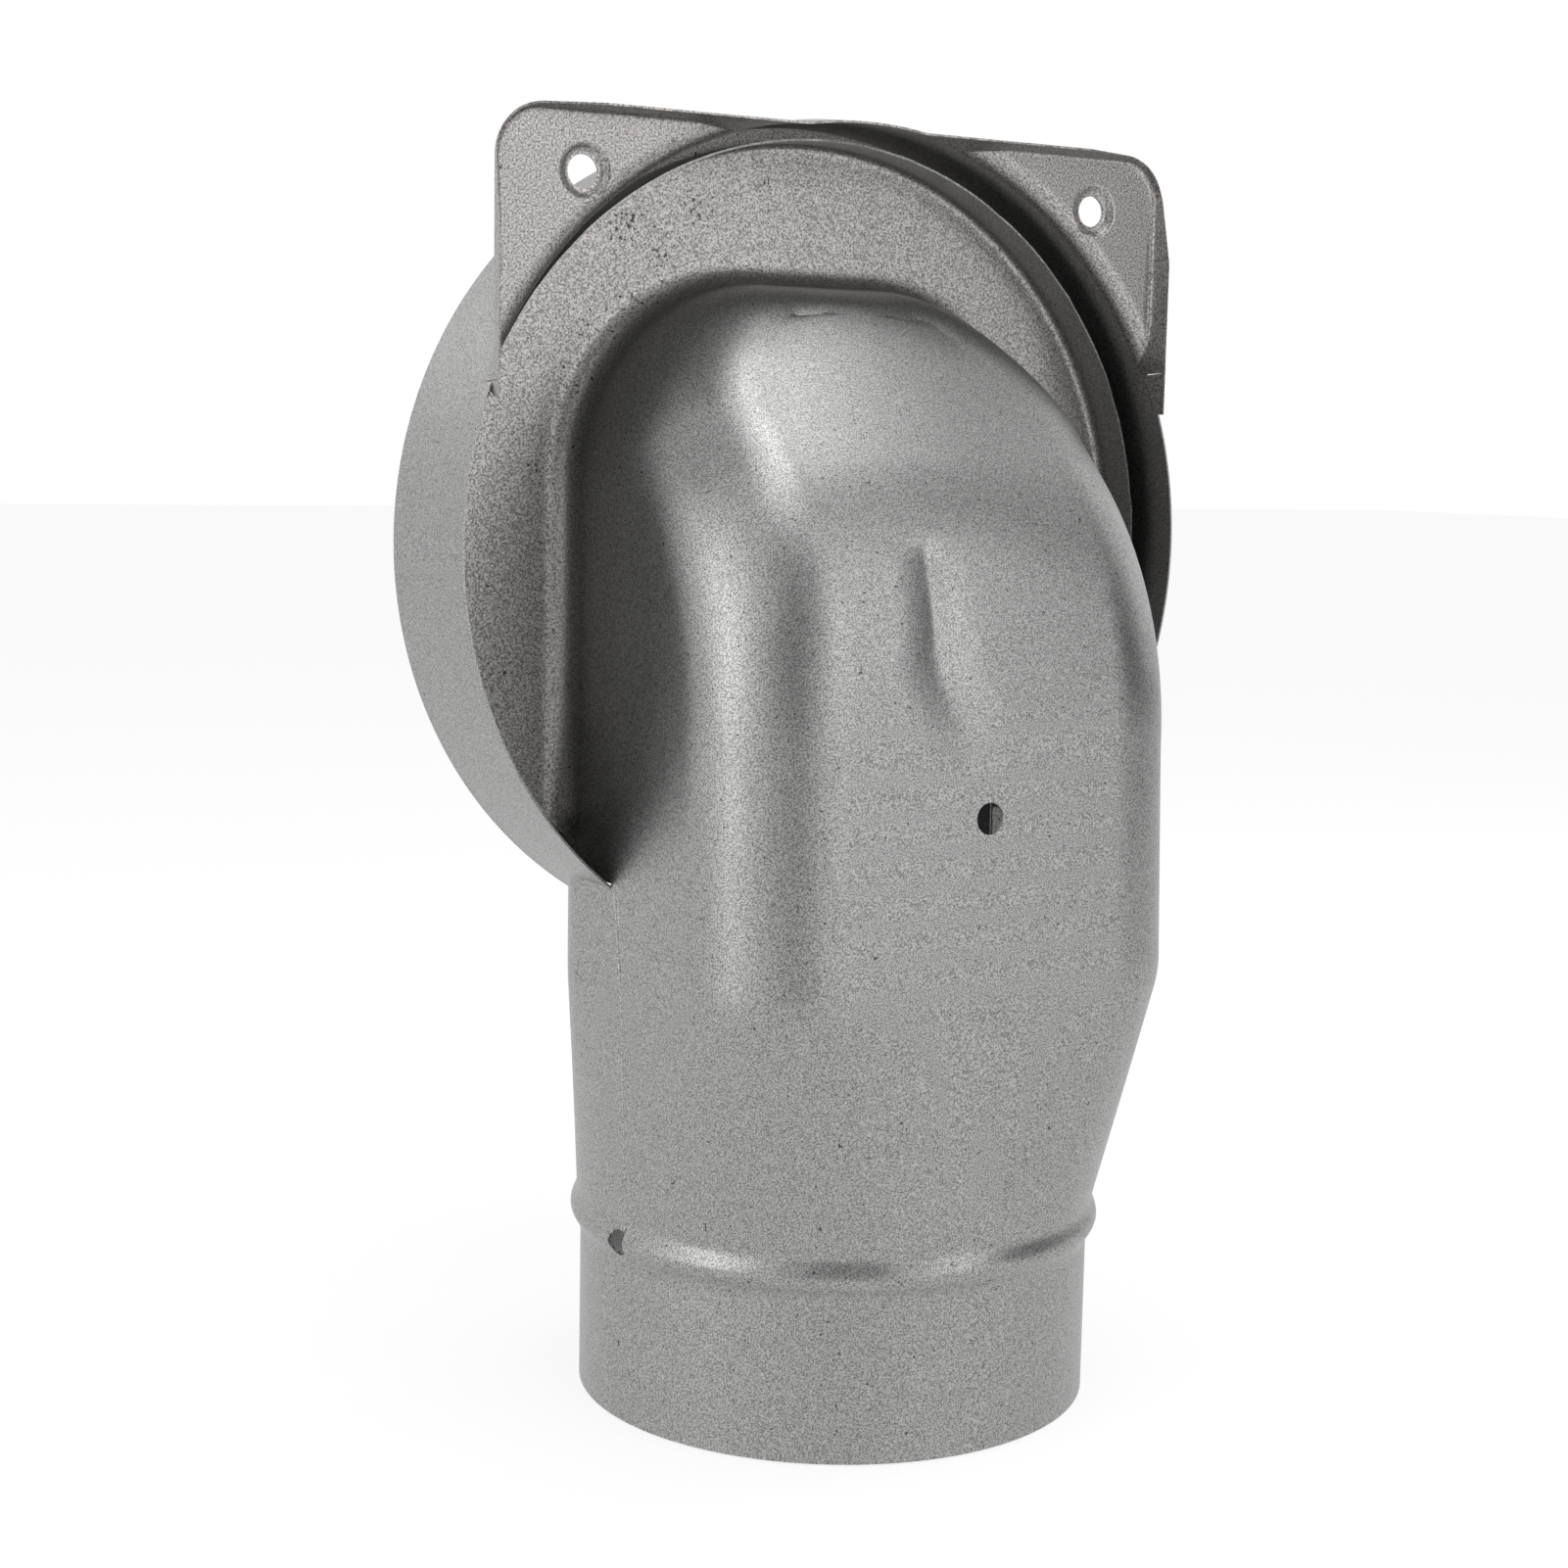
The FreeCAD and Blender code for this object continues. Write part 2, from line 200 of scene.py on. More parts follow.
# Front shell: flared tube, elbow with its sloping roof, groove, disc and rim
frontSettings = {
    "upright": 128.0,         # the front leans back to here
    "frontHigh": 48.6,
    "roofCorner": 160.2,      # where the upright and the roof would meet
    "roofAngle": 45.0,
    "roofBend": 74.5,
    "roofCrown": 0.9,
    "crownShare": (2.0, 0.8), # over the arch's top it comes in as smooth(2 p - 0.8), p being the way round
    "crownStart": 150.0,      # height at which the crown begins, and the run to its full rise
    "crownRun": 25.0,
    "top": 213.4,
    "topCorner": 37.0,        # of the arch seen from the front
    "cornerGrow": 5.0,        # the edge's radius grows by this round the arch's corners
    "edgeLeaves": 150.0,      # above this the side edge follows the rounded front edge
    "grooveRadius": 5.4,
    "discDepth": 18.9,
    "discFlat": 75.4,         # radius at which the disc turns into its rim
    "rimBend": 1.6,
    "rimEdge": 9.5,
    "rimWave": 0.28,          # unevenness of the rim's raw edge
    "hemFoot": 0.45,          # how far behind the disc's face the wall ends below the disc's ends
    "hemGap": 0.03,           # between the disc's back and the hem behind it
    "hemInside": 1.0,         # how far the hem lies under the disc, and how far from the collar it ends
    "hemOutside": 0.05,
    "hemFlank": 0.2,          # how far inside the tube's flank it begins
    "holeHeight": 117.7,
    "holeRadius": 2.9,
    "wallCells": 9, "filletCells": 22, "fanCells": 34,
    "wallRows": 10, "grooveRows": 12, "discRows": 14, "rimBendRows": 6, "rimRows": 4,
    "hemCells": 4, "hemTurns": 160,
    "dentLine": [[-8.9, -10.0, -10.2, -8.0, -5.5, -4.3], [168.0, 152.0, 145.0, 139.0, 133.0, 124.0]],
    "dentDepth": 0.85,
    "dentLeft": 8.0, "dentRight": 9.0,
    "dentFoot": (121.0, 28.0),      # height at which it begins, and the run to its full depth
    "dentHead": (163.0, 4.5),       # height at which it begins to end, and the run to nothing
    "dentBlunt": (0.02, 0.35),      # roundness of the crease at its top, and what comes on top of it below
    "dentSharpens": (156.0, 20.0),  # height above which it is sharp, and the run of the change below it
    "faceBeyond": -20.0,      # depth ahead of which the skin is the elbow's face
}


def frontBall(zc, radius):
    # depth and slope of the ball that rounds the elbow's front edge, its centre at height zc: it rolls inside
    # the upright line, then round the roof's bend, then along the sloping roof
    s, t = frontSettings, tubeSettings
    lean = t["frontDepth"] - s["frontHigh"]
    upright = -(t["frontDepth"] - lean * softRise(zc, t["shoulder"], s["upright"], t["softBend"]))
    full = math.radians(s["roofAngle"])
    bendStart = s["roofCorner"] - s["roofBend"] * math.tan(full / 2)
    inner = s["roofBend"] - radius
    rise = np.clip((zc - bendStart) / inner, 0.0, math.sin(full))
    slope = np.arcsin(rise)
    onBend = -s["frontHigh"] + s["roofBend"] - inner * np.cos(slope)
    onRoof = -s["frontHigh"] + (zc - s["roofCorner"]) + radius * math.sqrt(2.0)
    above = np.where(rise < math.sin(full) - 1e-9, onBend, onRoof)
    return np.where(zc < bendStart, upright + radius, above), slope


def dent(x, z):
    # the knock in the front: a crease along a drawn line, (1 - |u|)^2 across, steep at its top, fading below
    s = frontSettings
    lineX, lineZ = s["dentLine"]
    across = x - np.interp(z, lineZ[::-1], lineX[::-1])
    width = np.where(across < 0.0, s["dentLeft"], s["dentRight"])
    sharp, dull = s["dentBlunt"]
    height, run = s["dentSharpens"]
    blunt = sharp + dull * smooth((height - z) / run)
    u = np.sqrt((across / width) ** 2 + blunt ** 2) - blunt
    foot, head = s["dentFoot"], s["dentHead"]
    along = smooth((z - foot[0]) / foot[1]) * (1.0 - smooth((z - head[0]) / head[1]))
    return s["dentDepth"] * along * np.clip(1.0 - u, 0.0, 1.0) ** 2


def archStations():
    # heights up the flank, closer at the bead, the shoulder and the hole, then equal turns round the corner
    s, t = frontSettings, tubeSettings
    hole, holeZ = s["holeRadius"], s["holeHeight"]
    coreTop = s["top"] - s["topCorner"]
    heights = spaced(0.0, (28.0, 2.0), (41.0, 0.65), (80.0, 1.95), (90.0, 1.0), (t["foot"], 1.5),
                     (108.0, 1.0), (113.0, 0.8), (holeZ - hole, 0.6), (holeZ + hole, 0.58),
                     (166.0, 0.9), (coreTop, 1.3))
    corner = np.linspace(0.0, math.pi / 2, s["fanCells"] + 1)[1:]
    turn = np.concatenate([np.zeros(len(heights)), corner])
    flank = np.concatenate([heights, np.full(s["fanCells"], coreTop)])
    return flank, turn


def elbowFlank(flank, turn, reach, ballY):
    # right flank of each station, side edge to fillet: equal angles on the tube, equal depths above it
    s, t = frontSettings, tubeSettings
    share = flareShare(flank)
    core = t["halfWidth"] - s["topCorner"]
    wallX = core + reach * np.cos(turn)
    wallZ = flank + s["topCorner"] * np.sin(turn)
    edgeY = np.maximum(seamDepth(flank), np.where(flank > s["edgeLeaves"], ballY, -np.inf))
    edgeTheta = np.where(share < 1.0, flankAngle(edgeY, flank, ballY), 90.0)
    steps = np.linspace(0.0, 1.0, s["wallCells"] + 1)[None, :]
    theta = edgeTheta[:, None] + (t["flankEnd"] - edgeTheta)[:, None] * steps
    depth = np.where(share[:, None] < 1.0, ballY[:, None] * (90.0 - theta) / (90.0 - t["flankEnd"]),
                     edgeY[:, None] + (ballY - edgeY)[:, None] * steps)
    wall = np.stack([np.broadcast_to(wallX[:, None], theta.shape), depth,
                     np.broadcast_to(wallZ[:, None], theta.shape)], axis=-1)
    return wall, theta, edgeY


def elbowFillet(turn, ballX, ballY, ballZ, radius, slope):
    # arc on the ball from the flank's normal to the roof's, weighted by sin(part of the angle) / sin(angle)
    s, t = frontSettings, tubeSettings
    flankEnd, faceEnd = t["flankEnd"], t["faceEnd"]
    part = np.linspace(0.0, 1.0, s["filletCells"] + 1)[None, 1:]
    outX, outZ = np.cos(turn), np.sin(turn)
    theta = np.broadcast_to(flankEnd - (flankEnd - faceEnd) * part, (len(turn), s["filletCells"]))
    between = np.arccos(np.clip(outZ * np.sin(slope), -1.0, 1.0))[:, None]
    weightOut = np.sin((1.0 - part) * between) / np.sin(between)
    weightRoof = np.sin(part * between) / np.sin(between)
    upward = weightOut * outZ[:, None] + weightRoof * np.sin(slope)[:, None]
    fillet = np.stack([ballX[:, None] + radius[:, None] * weightOut * outX[:, None],
                       ballY[:, None] - radius[:, None] * weightRoof * np.cos(slope)[:, None],
                       ballZ[:, None] + radius[:, None] * upward], axis=-1)
    return fillet, theta


def elbowFace(contact, slope, middle):
    # straight across between both fillets, crowned by (1 - m^2) of its half width, square to the roof's slope
    s = frontSettings
    crown = s["roofCrown"] * smooth((contact[:, 2] - s["crownStart"]) / s["crownRun"])[:, None] \
        * (1.0 - middle[None, :] ** 2)
    return np.stack([contact[:, :1] * middle[None, :],
                     contact[:, 1:2] - crown * np.cos(slope)[:, None],
                     contact[:, 2:3] + crown * np.sin(slope)[:, None]], axis=-1)


def elbowSections(flank, turn, middle):
    # right side and front face of every station: the elbow's section and the round tube, mixed by the flare
    s, t = frontSettings, tubeSettings
    core = t["halfWidth"] - s["topCorner"]
    radius = t["edgeRadius"] + s["cornerGrow"] * np.sin(2.0 * turn) ** 2
    reach = s["topCorner"] + neckExtra(flank)
    ballX = core + (reach - radius) * np.cos(turn)
    ballZ = flank + (s["topCorner"] - radius) * np.sin(turn)
    ballY, slope = frontBall(ballZ, radius)
    wall, wallTheta, edgeY = elbowFlank(flank, turn, reach, ballY)
    fillet, filletTheta = elbowFillet(turn, ballX, ballY, ballZ, radius, slope)
    face = elbowFace(fillet[:, -1], slope, middle)
    share, tube = flareShare(flank), tubeRadius(flank)

    def mixed(elbow, theta):
        angle = np.radians(theta)
        ring = np.stack([tube[:, None] * np.sin(angle), -tube[:, None] * np.cos(angle),
                         np.broadcast_to(flank[:, None], angle.shape)], axis=-1)
        return (1.0 - share)[:, None, None] * ring + share[:, None, None] * elbow

    side = mixed(np.concatenate([wall, fillet], axis=1), np.concatenate([wallTheta, filletTheta], axis=1))
    face = mixed(face, np.broadcast_to(t["faceEnd"] * middle, (len(flank), len(middle))))
    return side, face, edgeY


def cutFrontHole(rows):
    # the hole in the front: square rings of cells drawn in to circles, and the cells inside it left out
    s, t = frontSettings, tubeSettings
    hole, holeZ = s["holeRadius"], s["holeHeight"]
    a, b = rows[..., 0], rows[..., 2] - holeZ
    ring = np.maximum(np.abs(a), np.abs(b))
    away = np.maximum(np.hypot(a, b), 1e-9)
    fade = (ring - hole) / hole
    pull = np.where(ring < hole, ring / away, (1.0 - fade) * ring / away + fade)
    near = (ring < 2.0 * hole) & (rows[..., 1] < 0.0)
    inside = (np.abs(a[:-1, :-1] + a[1:, 1:]) / 2 < hole) & (np.abs(b[:-1, :-1] + b[1:, 1:]) / 2 < hole)
    kept = ~(inside & (rows[:-1, :-1, 1] < 0.0))
    lean = (t["frontDepth"] - s["frontHigh"]) / (s["upright"] - t["shoulder"])
    rows[..., 1] += np.where(near, lean * b * (pull - 1.0), 0.0)
    rows[..., 0] = np.where(near, a * pull, a)
    rows[..., 2] = np.where(near, holeZ + b * pull, rows[..., 2])
    return kept


def archTop(last, middle):
    # the arch's top between its corners: the last station carried straight across, with the roof's crown
    # coming in over the fillet, square to the roof, so that its depth and height each take sin 45 degrees
    across = np.concatenate([[-1.0], middle, [1.0]]) * last[-1, 0]
    arch = np.concatenate([[0.0], 1.0 - middle ** 2, [0.0]])
    steep, late = frontSettings["crownShare"]
    part = smooth(np.linspace(0.0, 1.0, len(last)) * steep - late)
    crown = frontSettings["roofCrown"] * part[:, None] * arch[None, :] * math.sqrt(0.5)
    rows = np.stack([np.broadcast_to(across[None, :], crown.shape), last[:, 1:2] - crown,
                     last[:, 2:3] + crown], axis=-1)
    return rows[::-1], across


def wallToDisc(starts, heads, edges):
    # from each place of the arch outward in its heading: straight back along the wall, round the groove's
    # circle, then flat to the disc's end, or below the disc's ends straight back to the hem instead
    s, t, c = frontSettings, tubeSettings, collarSettings
    fromAxis = starts - [0.0, c["height"]]
    along = (fromAxis * heads).sum(axis=1)
    flatEnd = -along + np.sqrt(along ** 2 - (fromAxis ** 2).sum(axis=1) + s["discFlat"] ** 2)
    grooveEnd = s["topCorner"] + s["grooveRadius"]
    whole = flatEnd >= grooveEnd - 1e-6
    limit = np.clip(flatEnd, s["topCorner"] + t["sheet"], grooveEnd)
    turnEnd = np.arccos(1.0 - (limit - s["topCorner"]) / s["grooveRadius"])
    grooveY = s["discDepth"] - s["grooveRadius"]
    down = np.linspace(0.0, 1.0, s["wallRows"])[:, None]
    wallY = edges[None, :] + (grooveY - edges)[None, :] * down
    wallD = np.full(wallY.shape, s["topCorner"])
    beta = turnEnd[None, :] * np.linspace(0.0, 1.0, s["grooveRows"] + 1)[1:, None]
    grooveD = s["topCorner"] + s["grooveRadius"] * (1.0 - np.cos(beta))
    outward = np.linspace(0.0, 1.0, s["discRows"] + 1)[1:, None]
    discD = limit[None, :] + (np.maximum(flatEnd, limit) - limit)[None, :] * outward
    grooveBack = (grooveY + s["grooveRadius"] * np.sin(turnEnd))[None, :]
    hemY = s["discDepth"] + s["hemFoot"]
    discY = np.where(whole[None, :], s["discDepth"], grooveBack + (hemY - grooveBack) * outward)
    reach = np.concatenate([wallD, grooveD, discD])
    depth = np.concatenate([wallY, grooveY + s["grooveRadius"] * np.sin(beta), discY])
    return starts[None] + reach[..., None] * heads[None], depth, whole


def rimFromDisc(discEnd):
    # quarter bend off the disc, then straight forward; its raw edge is uneven by two products of sines
    s, c = frontSettings, collarSettings
    edge = discEnd - [0.0, c["height"]]
    outward = edge / np.linalg.norm(edge, axis=1, keepdims=True)
    angle = np.arctan2(outward[:, 1], outward[:, 0])
    wave = s["rimWave"] * (0.5 * np.sin(23.0 * angle) * np.sin(7.0 * angle + 1.0)
                           + 0.5 * np.sin(61.0 * angle + 2.0) * np.sin(11.0 * angle) - 0.6)
    bend = np.linspace(0.0, math.pi / 2, s["rimBendRows"] + 1)[1:]
    run = np.linspace(0.0, 1.0, s["rimRows"] + 1)[1:]
    reach = np.concatenate([s["discFlat"] + s["rimBend"] * np.sin(bend),
                            np.full(s["rimRows"], s["discFlat"] + s["rimBend"])])
    straight = np.linspace(s["discDepth"] - s["rimBend"], s["rimEdge"], s["rimRows"] + 1)[1:]
    level = np.concatenate([s["discDepth"] - s["rimBend"] * (1.0 - np.cos(bend)), straight])
    uneven = np.concatenate([np.zeros(s["rimBendRows"]), run])
    depth = level[:, None] - uneven[:, None] * wave[None, :]
    plan = outward[None] * reach[:, None, None] + [0.0, c["height"]]
    return plan, depth


def discAndRim(flank, turn, across, edgeY):
    # all that lies behind the elbow's wall, along every station above the foot and across the arch's top
    s, t = frontSettings, tubeSettings
    upper = flank >= t["foot"] - 1e-6
    core = t["halfWidth"] - s["topCorner"]
    start = np.stack([np.full(upper.sum(), core), flank[upper]], axis=-1)
    head = np.stack([np.cos(turn)[upper], np.sin(turn)[upper]], axis=-1)
    topStart = np.stack([across[1:-1], np.full(len(across) - 2, s["top"] - s["topCorner"])], axis=-1)
    topHead = np.tile([[0.0, 1.0]], (len(topStart), 1))
    starts = np.concatenate([start * [-1.0, 1.0], topStart, start[::-1]])
    heads = np.concatenate([head * [-1.0, 1.0], topHead, head[::-1]])
    edges = edgeY[upper]
    edges = np.concatenate([edges, np.full(len(topStart), edges[-1]), edges[::-1]])
    plan, depth, whole = wallToDisc(starts, heads, edges)
    rimPlan, rimDepth = rimFromDisc(plan[-1])
    beforeRim = len(plan) - 1
    plan = np.concatenate([plan, rimPlan])
    depth = np.concatenate([depth, rimDepth])
    rows = np.stack([plan[..., 0], depth, plan[..., 1]], axis=-1)
    kept = np.ones((rows.shape[0] - 1, rows.shape[1] - 1), bool)
    kept[beforeRim:] = (whole[:-1] & whole[1:])[None, :]
    return rows, kept


def hemRing():
    # the disc's hem: a flat ring behind the rim that closes the gap to the collar, between the tube's flanks
    s, t, c = frontSettings, tubeSettings, collarSettings
    hem = np.linspace(s["discFlat"] - s["hemInside"], c["radius"] - s["hemOutside"], s["hemCells"] + 1)
    lowest = -np.arccos((t["halfWidth"] - s["hemFlank"]) / hem)
    run = np.linspace(0.0, 1.0, s["hemTurns"] + 1)[:, None]
    sweep = lowest[None, :] + (math.pi - 2.0 * lowest)[None, :] * run
    depth = np.full(sweep.shape, s["discDepth"] + t["sheet"] + s["hemGap"])
    return np.stack([hem * np.cos(sweep), depth, hem * np.sin(sweep) + c["height"]], axis=-1)


def frontShell():
    # both sides and the face of the tube and elbow, the arch's top, the disc with its rim, and the hem
    s, t = frontSettings, tubeSettings
    flank, turn = archStations()
    hole = s["holeRadius"] / (t["halfWidth"] - t["edgeRadius"])
    middle = spaced(-1.0, (-hole, 0.03), (hole, 0.0201), (1.0, 0.034))[1:-1]
    side, face, edgeY = elbowSections(flank, turn, middle)
    rows = np.concatenate([side * [-1.0, 1.0, 1.0], face, side[:, ::-1]], axis=1)
    kept = cutFrontHole(rows)
    rows[..., 1] += np.where(rows[..., 1] < s["faceBeyond"], dent(rows[..., 0], rows[..., 2]), 0.0)
    topRows, across = archTop(side[-1], middle)
    patches = [(rows, kept), (topRows, None), discAndRim(flank, turn, across, edgeY), (hemRing(), None)]
    return sheetPiece("frontShellSheet", patches, t["sheet"])


frontPiece = frontShell()
print("front shell made")


# Rear shell: back half of the tube, collar, and the ears with their lip
rearSettings = {
    "shoulder": 83.0,         # where the back has reached its flat section
    "cornerRadius": 17.5,
    "lapInset": 0.55,         # how far the lapped strip lies under the front shell's skin
    # from the seam back: the lapped strip, then the joggle that brings it flush
    "stripSteps": [-6.0, -4.0, -2.0, 0.0, 0.2, 0.32, 0.45, 0.58, 0.7],
    "joggleStart": 0.1,
    "joggle": 0.6,
    "edgeHeights": [0.0, 48.0, 77.0, 102.0],     # of the strip's own edge, under the front shell
    "edgeForward": [15.2, 13.2, 11.1, 8.4],
    "gapStart": 75.0, "gapRun": 26.0, "gapWidth": 1.0,     # the lap opens towards the collar
    "stretchFrom": 60.0,      # above this the tube's rows are stretched to end on the collar
    "sideHole": (-5.6, 35.0, 2.5),     # depth, height and radius
    "holeSnap": 0.34,         # points nearer to the hole's edge than this are moved onto it
    "earLeft": -74.5, "earRight": 72.1, "earTop": 241.0, "earBottom": 190.7, "earCorner": 8.6,
    "earBend": 4.0,
    "lipHeight": 4.3, "lipLean": 11.0, "lipBend": 1.0,
    "lipRoom": 0.82,          # from the outline in to where the lip's bend starts
    "cornerDip": 2.5, "dipRun": 10.0,
    "crownDrop": 1.0,
    "crownHalf": 0.5,         # radians to each side of the top in which the lip is lowered
    "holeSpacing": 114.0, "holeHeight": 230.7, "holeRadius": 3.0,
    "dimpleRadius": 5.1, "dimpleDepth": 1.2, "dimpleSlope": 1.5,
    "dimpleRings": [5.5, 6.8],     # radii of the cells' rings round the dimple
    "holeCells": 6,
    "holeWindow": 0.16, "fineTurn": 0.0048, "coarseTurn": 0.011,     # radians round the collar's axis
    "bendCells": 9, "plateCells": 38, "wallCells": 9, "plainCells": 12,
    "lipBendCells": 4, "lipCells": 5, "sideCells": 69, "sideEndCells": 4,
    "tongueRows": 9, "tongueCells": 8,
    "footHalf": 50.0,         # half width at which the collar's sides meet the tube
    "slitEnd": -0.9,          # depth of the lips' back edge at their foot, and the power of its slant
    "slitPower": 1.2,
}


def tubeAhead(z, seam, half):
    # ahead of the spigot's axis plane: the lapped strip under the front shell, the joggle, then flush with it
    s, t = rearSettings, tubeSettings
    edge = -np.interp(z, s["edgeHeights"], s["edgeForward"])
    ballY = np.full(z.shape, t["edgeRadius"] - t["frontDepth"])
    strip = seam[:, None] + np.array(s["stripSteps"])[None, :]
    toPlane = np.linspace(1.0, 0.0, s["plainCells"] + 1)[None, 1:]
    plain = (seam + s["stripSteps"][-1])[:, None] * toPlane
    depths = np.maximum(np.concatenate([strip, plain], axis=1), edge[:, None])
    height = np.broadcast_to(z[:, None], depths.shape)
    x, y = flankPoint(flankAngle(depths, height, ballY[:, None]), height, ballY[:, None], half[:, None])
    inset = s["lapInset"] * (1.0 - smooth((y - seam[:, None] - s["joggleStart"]) / s["joggle"]))
    return np.stack([x - inset, y, height], axis=-1)


def tubeBehind(z, half):
    # behind it: circle and flat-backed section with round corners, mixed as the flare comes on
    s, t, c = rearSettings, tubeSettings, collarSettings
    flankEnd, faceEnd = t["flankEnd"], t["faceEnd"]
    theta = spaced(90.0, (flankEnd, 2.75), (faceEnd, 2.875), (-faceEnd, 3.143),
                   (-flankEnd, 2.875), (-90.0, 2.75))[1:-1]
    side, size = np.sign(theta), np.abs(theta)
    share = softRise(z, t["flareStart"], s["shoulder"], t["softBend"])[:, None]
    corner = s["cornerRadius"]
    flat = half[:, None] - corner
    turn = np.radians(np.clip((size - faceEnd) / (flankEnd - faceEnd), 0.0, 1.0) * 90.0)[None, :]
    elbowX = np.where(size < faceEnd, flat * size / faceEnd, flat + corner * np.sin(turn))
    elbowY = c["back"] - corner + corner * np.cos(turn)
    flankY = (c["back"] - corner) * (90.0 - size)[None, :] / (90.0 - flankEnd)
    elbowY = np.where(size > flankEnd, flankY, elbowY)
    ring = np.radians(size)[None, :]
    tube = tubeRadius(z)[:, None]
    x = side[None, :] * ((1.0 - share) * tube * np.sin(ring) + share * elbowX)
    y = (1.0 - share) * tube * np.cos(ring) + share * elbowY
    return np.stack([x, y, np.broadcast_to(z[:, None], x.shape)], axis=-1)


def cutSideHole(rows):
    # the small hole on the left lap, in the bead: points near its circle move onto it, cells inside go
    s = rearSettings
    holeY, holeZ, radius = s["sideHole"]
    a, b = rows[..., 1] - holeY, rows[..., 2] - holeZ
    away = np.hypot(a, b)
    onLeft = rows[..., 0] < 0.0
    snap = onLeft & (np.abs(away - radius) < s["holeSnap"])
    scale = radius / np.maximum(away, 0.1)
    rows[..., 1] = np.where(snap, holeY + a * scale, rows[..., 1])
    rows[..., 2] = np.where(snap, holeZ + b * scale, rows[..., 2])
    inside = (away < radius + s["holeSnap"]) & onLeft
    return ~(inside[:-1, :-1] & inside[1:, 1:] & inside[:-1, 1:] & inside[1:, :-1])


def rearTube():
    # the back half of the tube from lap to lap, its last rows stretched to end on the collar's cylinder
    s, t, c = rearSettings, tubeSettings, collarSettings
    z = spaced(0.0, (28.0, 2.0), (31.0, 0.6), (39.0, 0.5), (41.0, 0.65), (102.0, 2.0))
    seam = seamDepth(z) + s["gapWidth"] * smooth((z - s["gapStart"]) / s["gapRun"])
    half = t["halfWidth"] + neckExtra(z)
    ahead = tubeAhead(z, seam, half)
    rows = np.concatenate([ahead, tubeBehind(z, half), (ahead * [-1.0, 1.0, 1.0])[:, ::-1]], axis=1)
    endX = np.minimum(np.abs(rows[-1, :, 0]), t["halfWidth"])
    onCollar = c["height"] - np.sqrt((c["radius"] + t["sheet"]) ** 2 - endX ** 2)
    top = np.where(rows[-1, :, 1] < c["front"], t["foot"], onCollar)[None, :]
    split = s["stretchFrom"]
    late = z > split
    rows[late, :, 2] = split + (z[late, None] - split) / (z[-1] - split) * (top - split)
    return rows, cutSideHole(rows)


def outlineReach(angle, spread):
    # distance from the collar's axis to the ears' outline in a direction: a box with two round upper corners
    s, c = rearSettings, collarSettings
    dx, dz = np.cos(angle), np.sin(angle)
    side = np.where(dx > 0.0, s["earRight"] + spread, s["earLeft"] - spread)
    top = s["earTop"] + spread - c["height"]
    radius = s["earCorner"] + spread
    reach = np.minimum(side / np.where(np.abs(dx) < 1e-6, 1e-6, dx), top / np.maximum(dz, 1e-6))
    centreX = side - np.sign(side) * radius
    centreZ = top - radius
    along = centreX * dx + centreZ * dz
    inner = along ** 2 - (centreX ** 2 + centreZ ** 2 - radius ** 2)
    onCorner = (np.abs(reach * dx) > np.abs(centreX)) & (reach * dz > centreZ)
    return np.where(onCorner, along + np.sqrt(np.maximum(inner, 0.0)), reach)


def bendDepth(rho):
    # y of the ears' face at a distance from the axis: a quarter circle out of the collar, then the flat plate
    s, c = rearSettings, collarSettings
    into = np.clip(c["radius"] + s["earBend"] - rho, 0.0, s["earBend"])
    return s["earBend"] - np.sqrt(s["earBend"] ** 2 - into ** 2)


def earSweep():
    # angles round the collar's axis from the right ear's foot to the left one's, closer at the screw holes
    s, c = rearSettings, collarSettings
    start = math.acos(s["earRight"] / c["radius"])
    end = math.acos(s["earLeft"] / c["radius"])
    right = math.atan2(s["holeHeight"] - c["height"], s["holeSpacing"] / 2)
    left = math.pi - right
    window, fine, coarse = s["holeWindow"], s["fineTurn"], s["coarseTurn"]
    angle = spaced(start, (right - window, coarse), (right + window, fine),
                   (left - window, coarse), (left + window, fine), (end, coarse))
    return angle, start, end


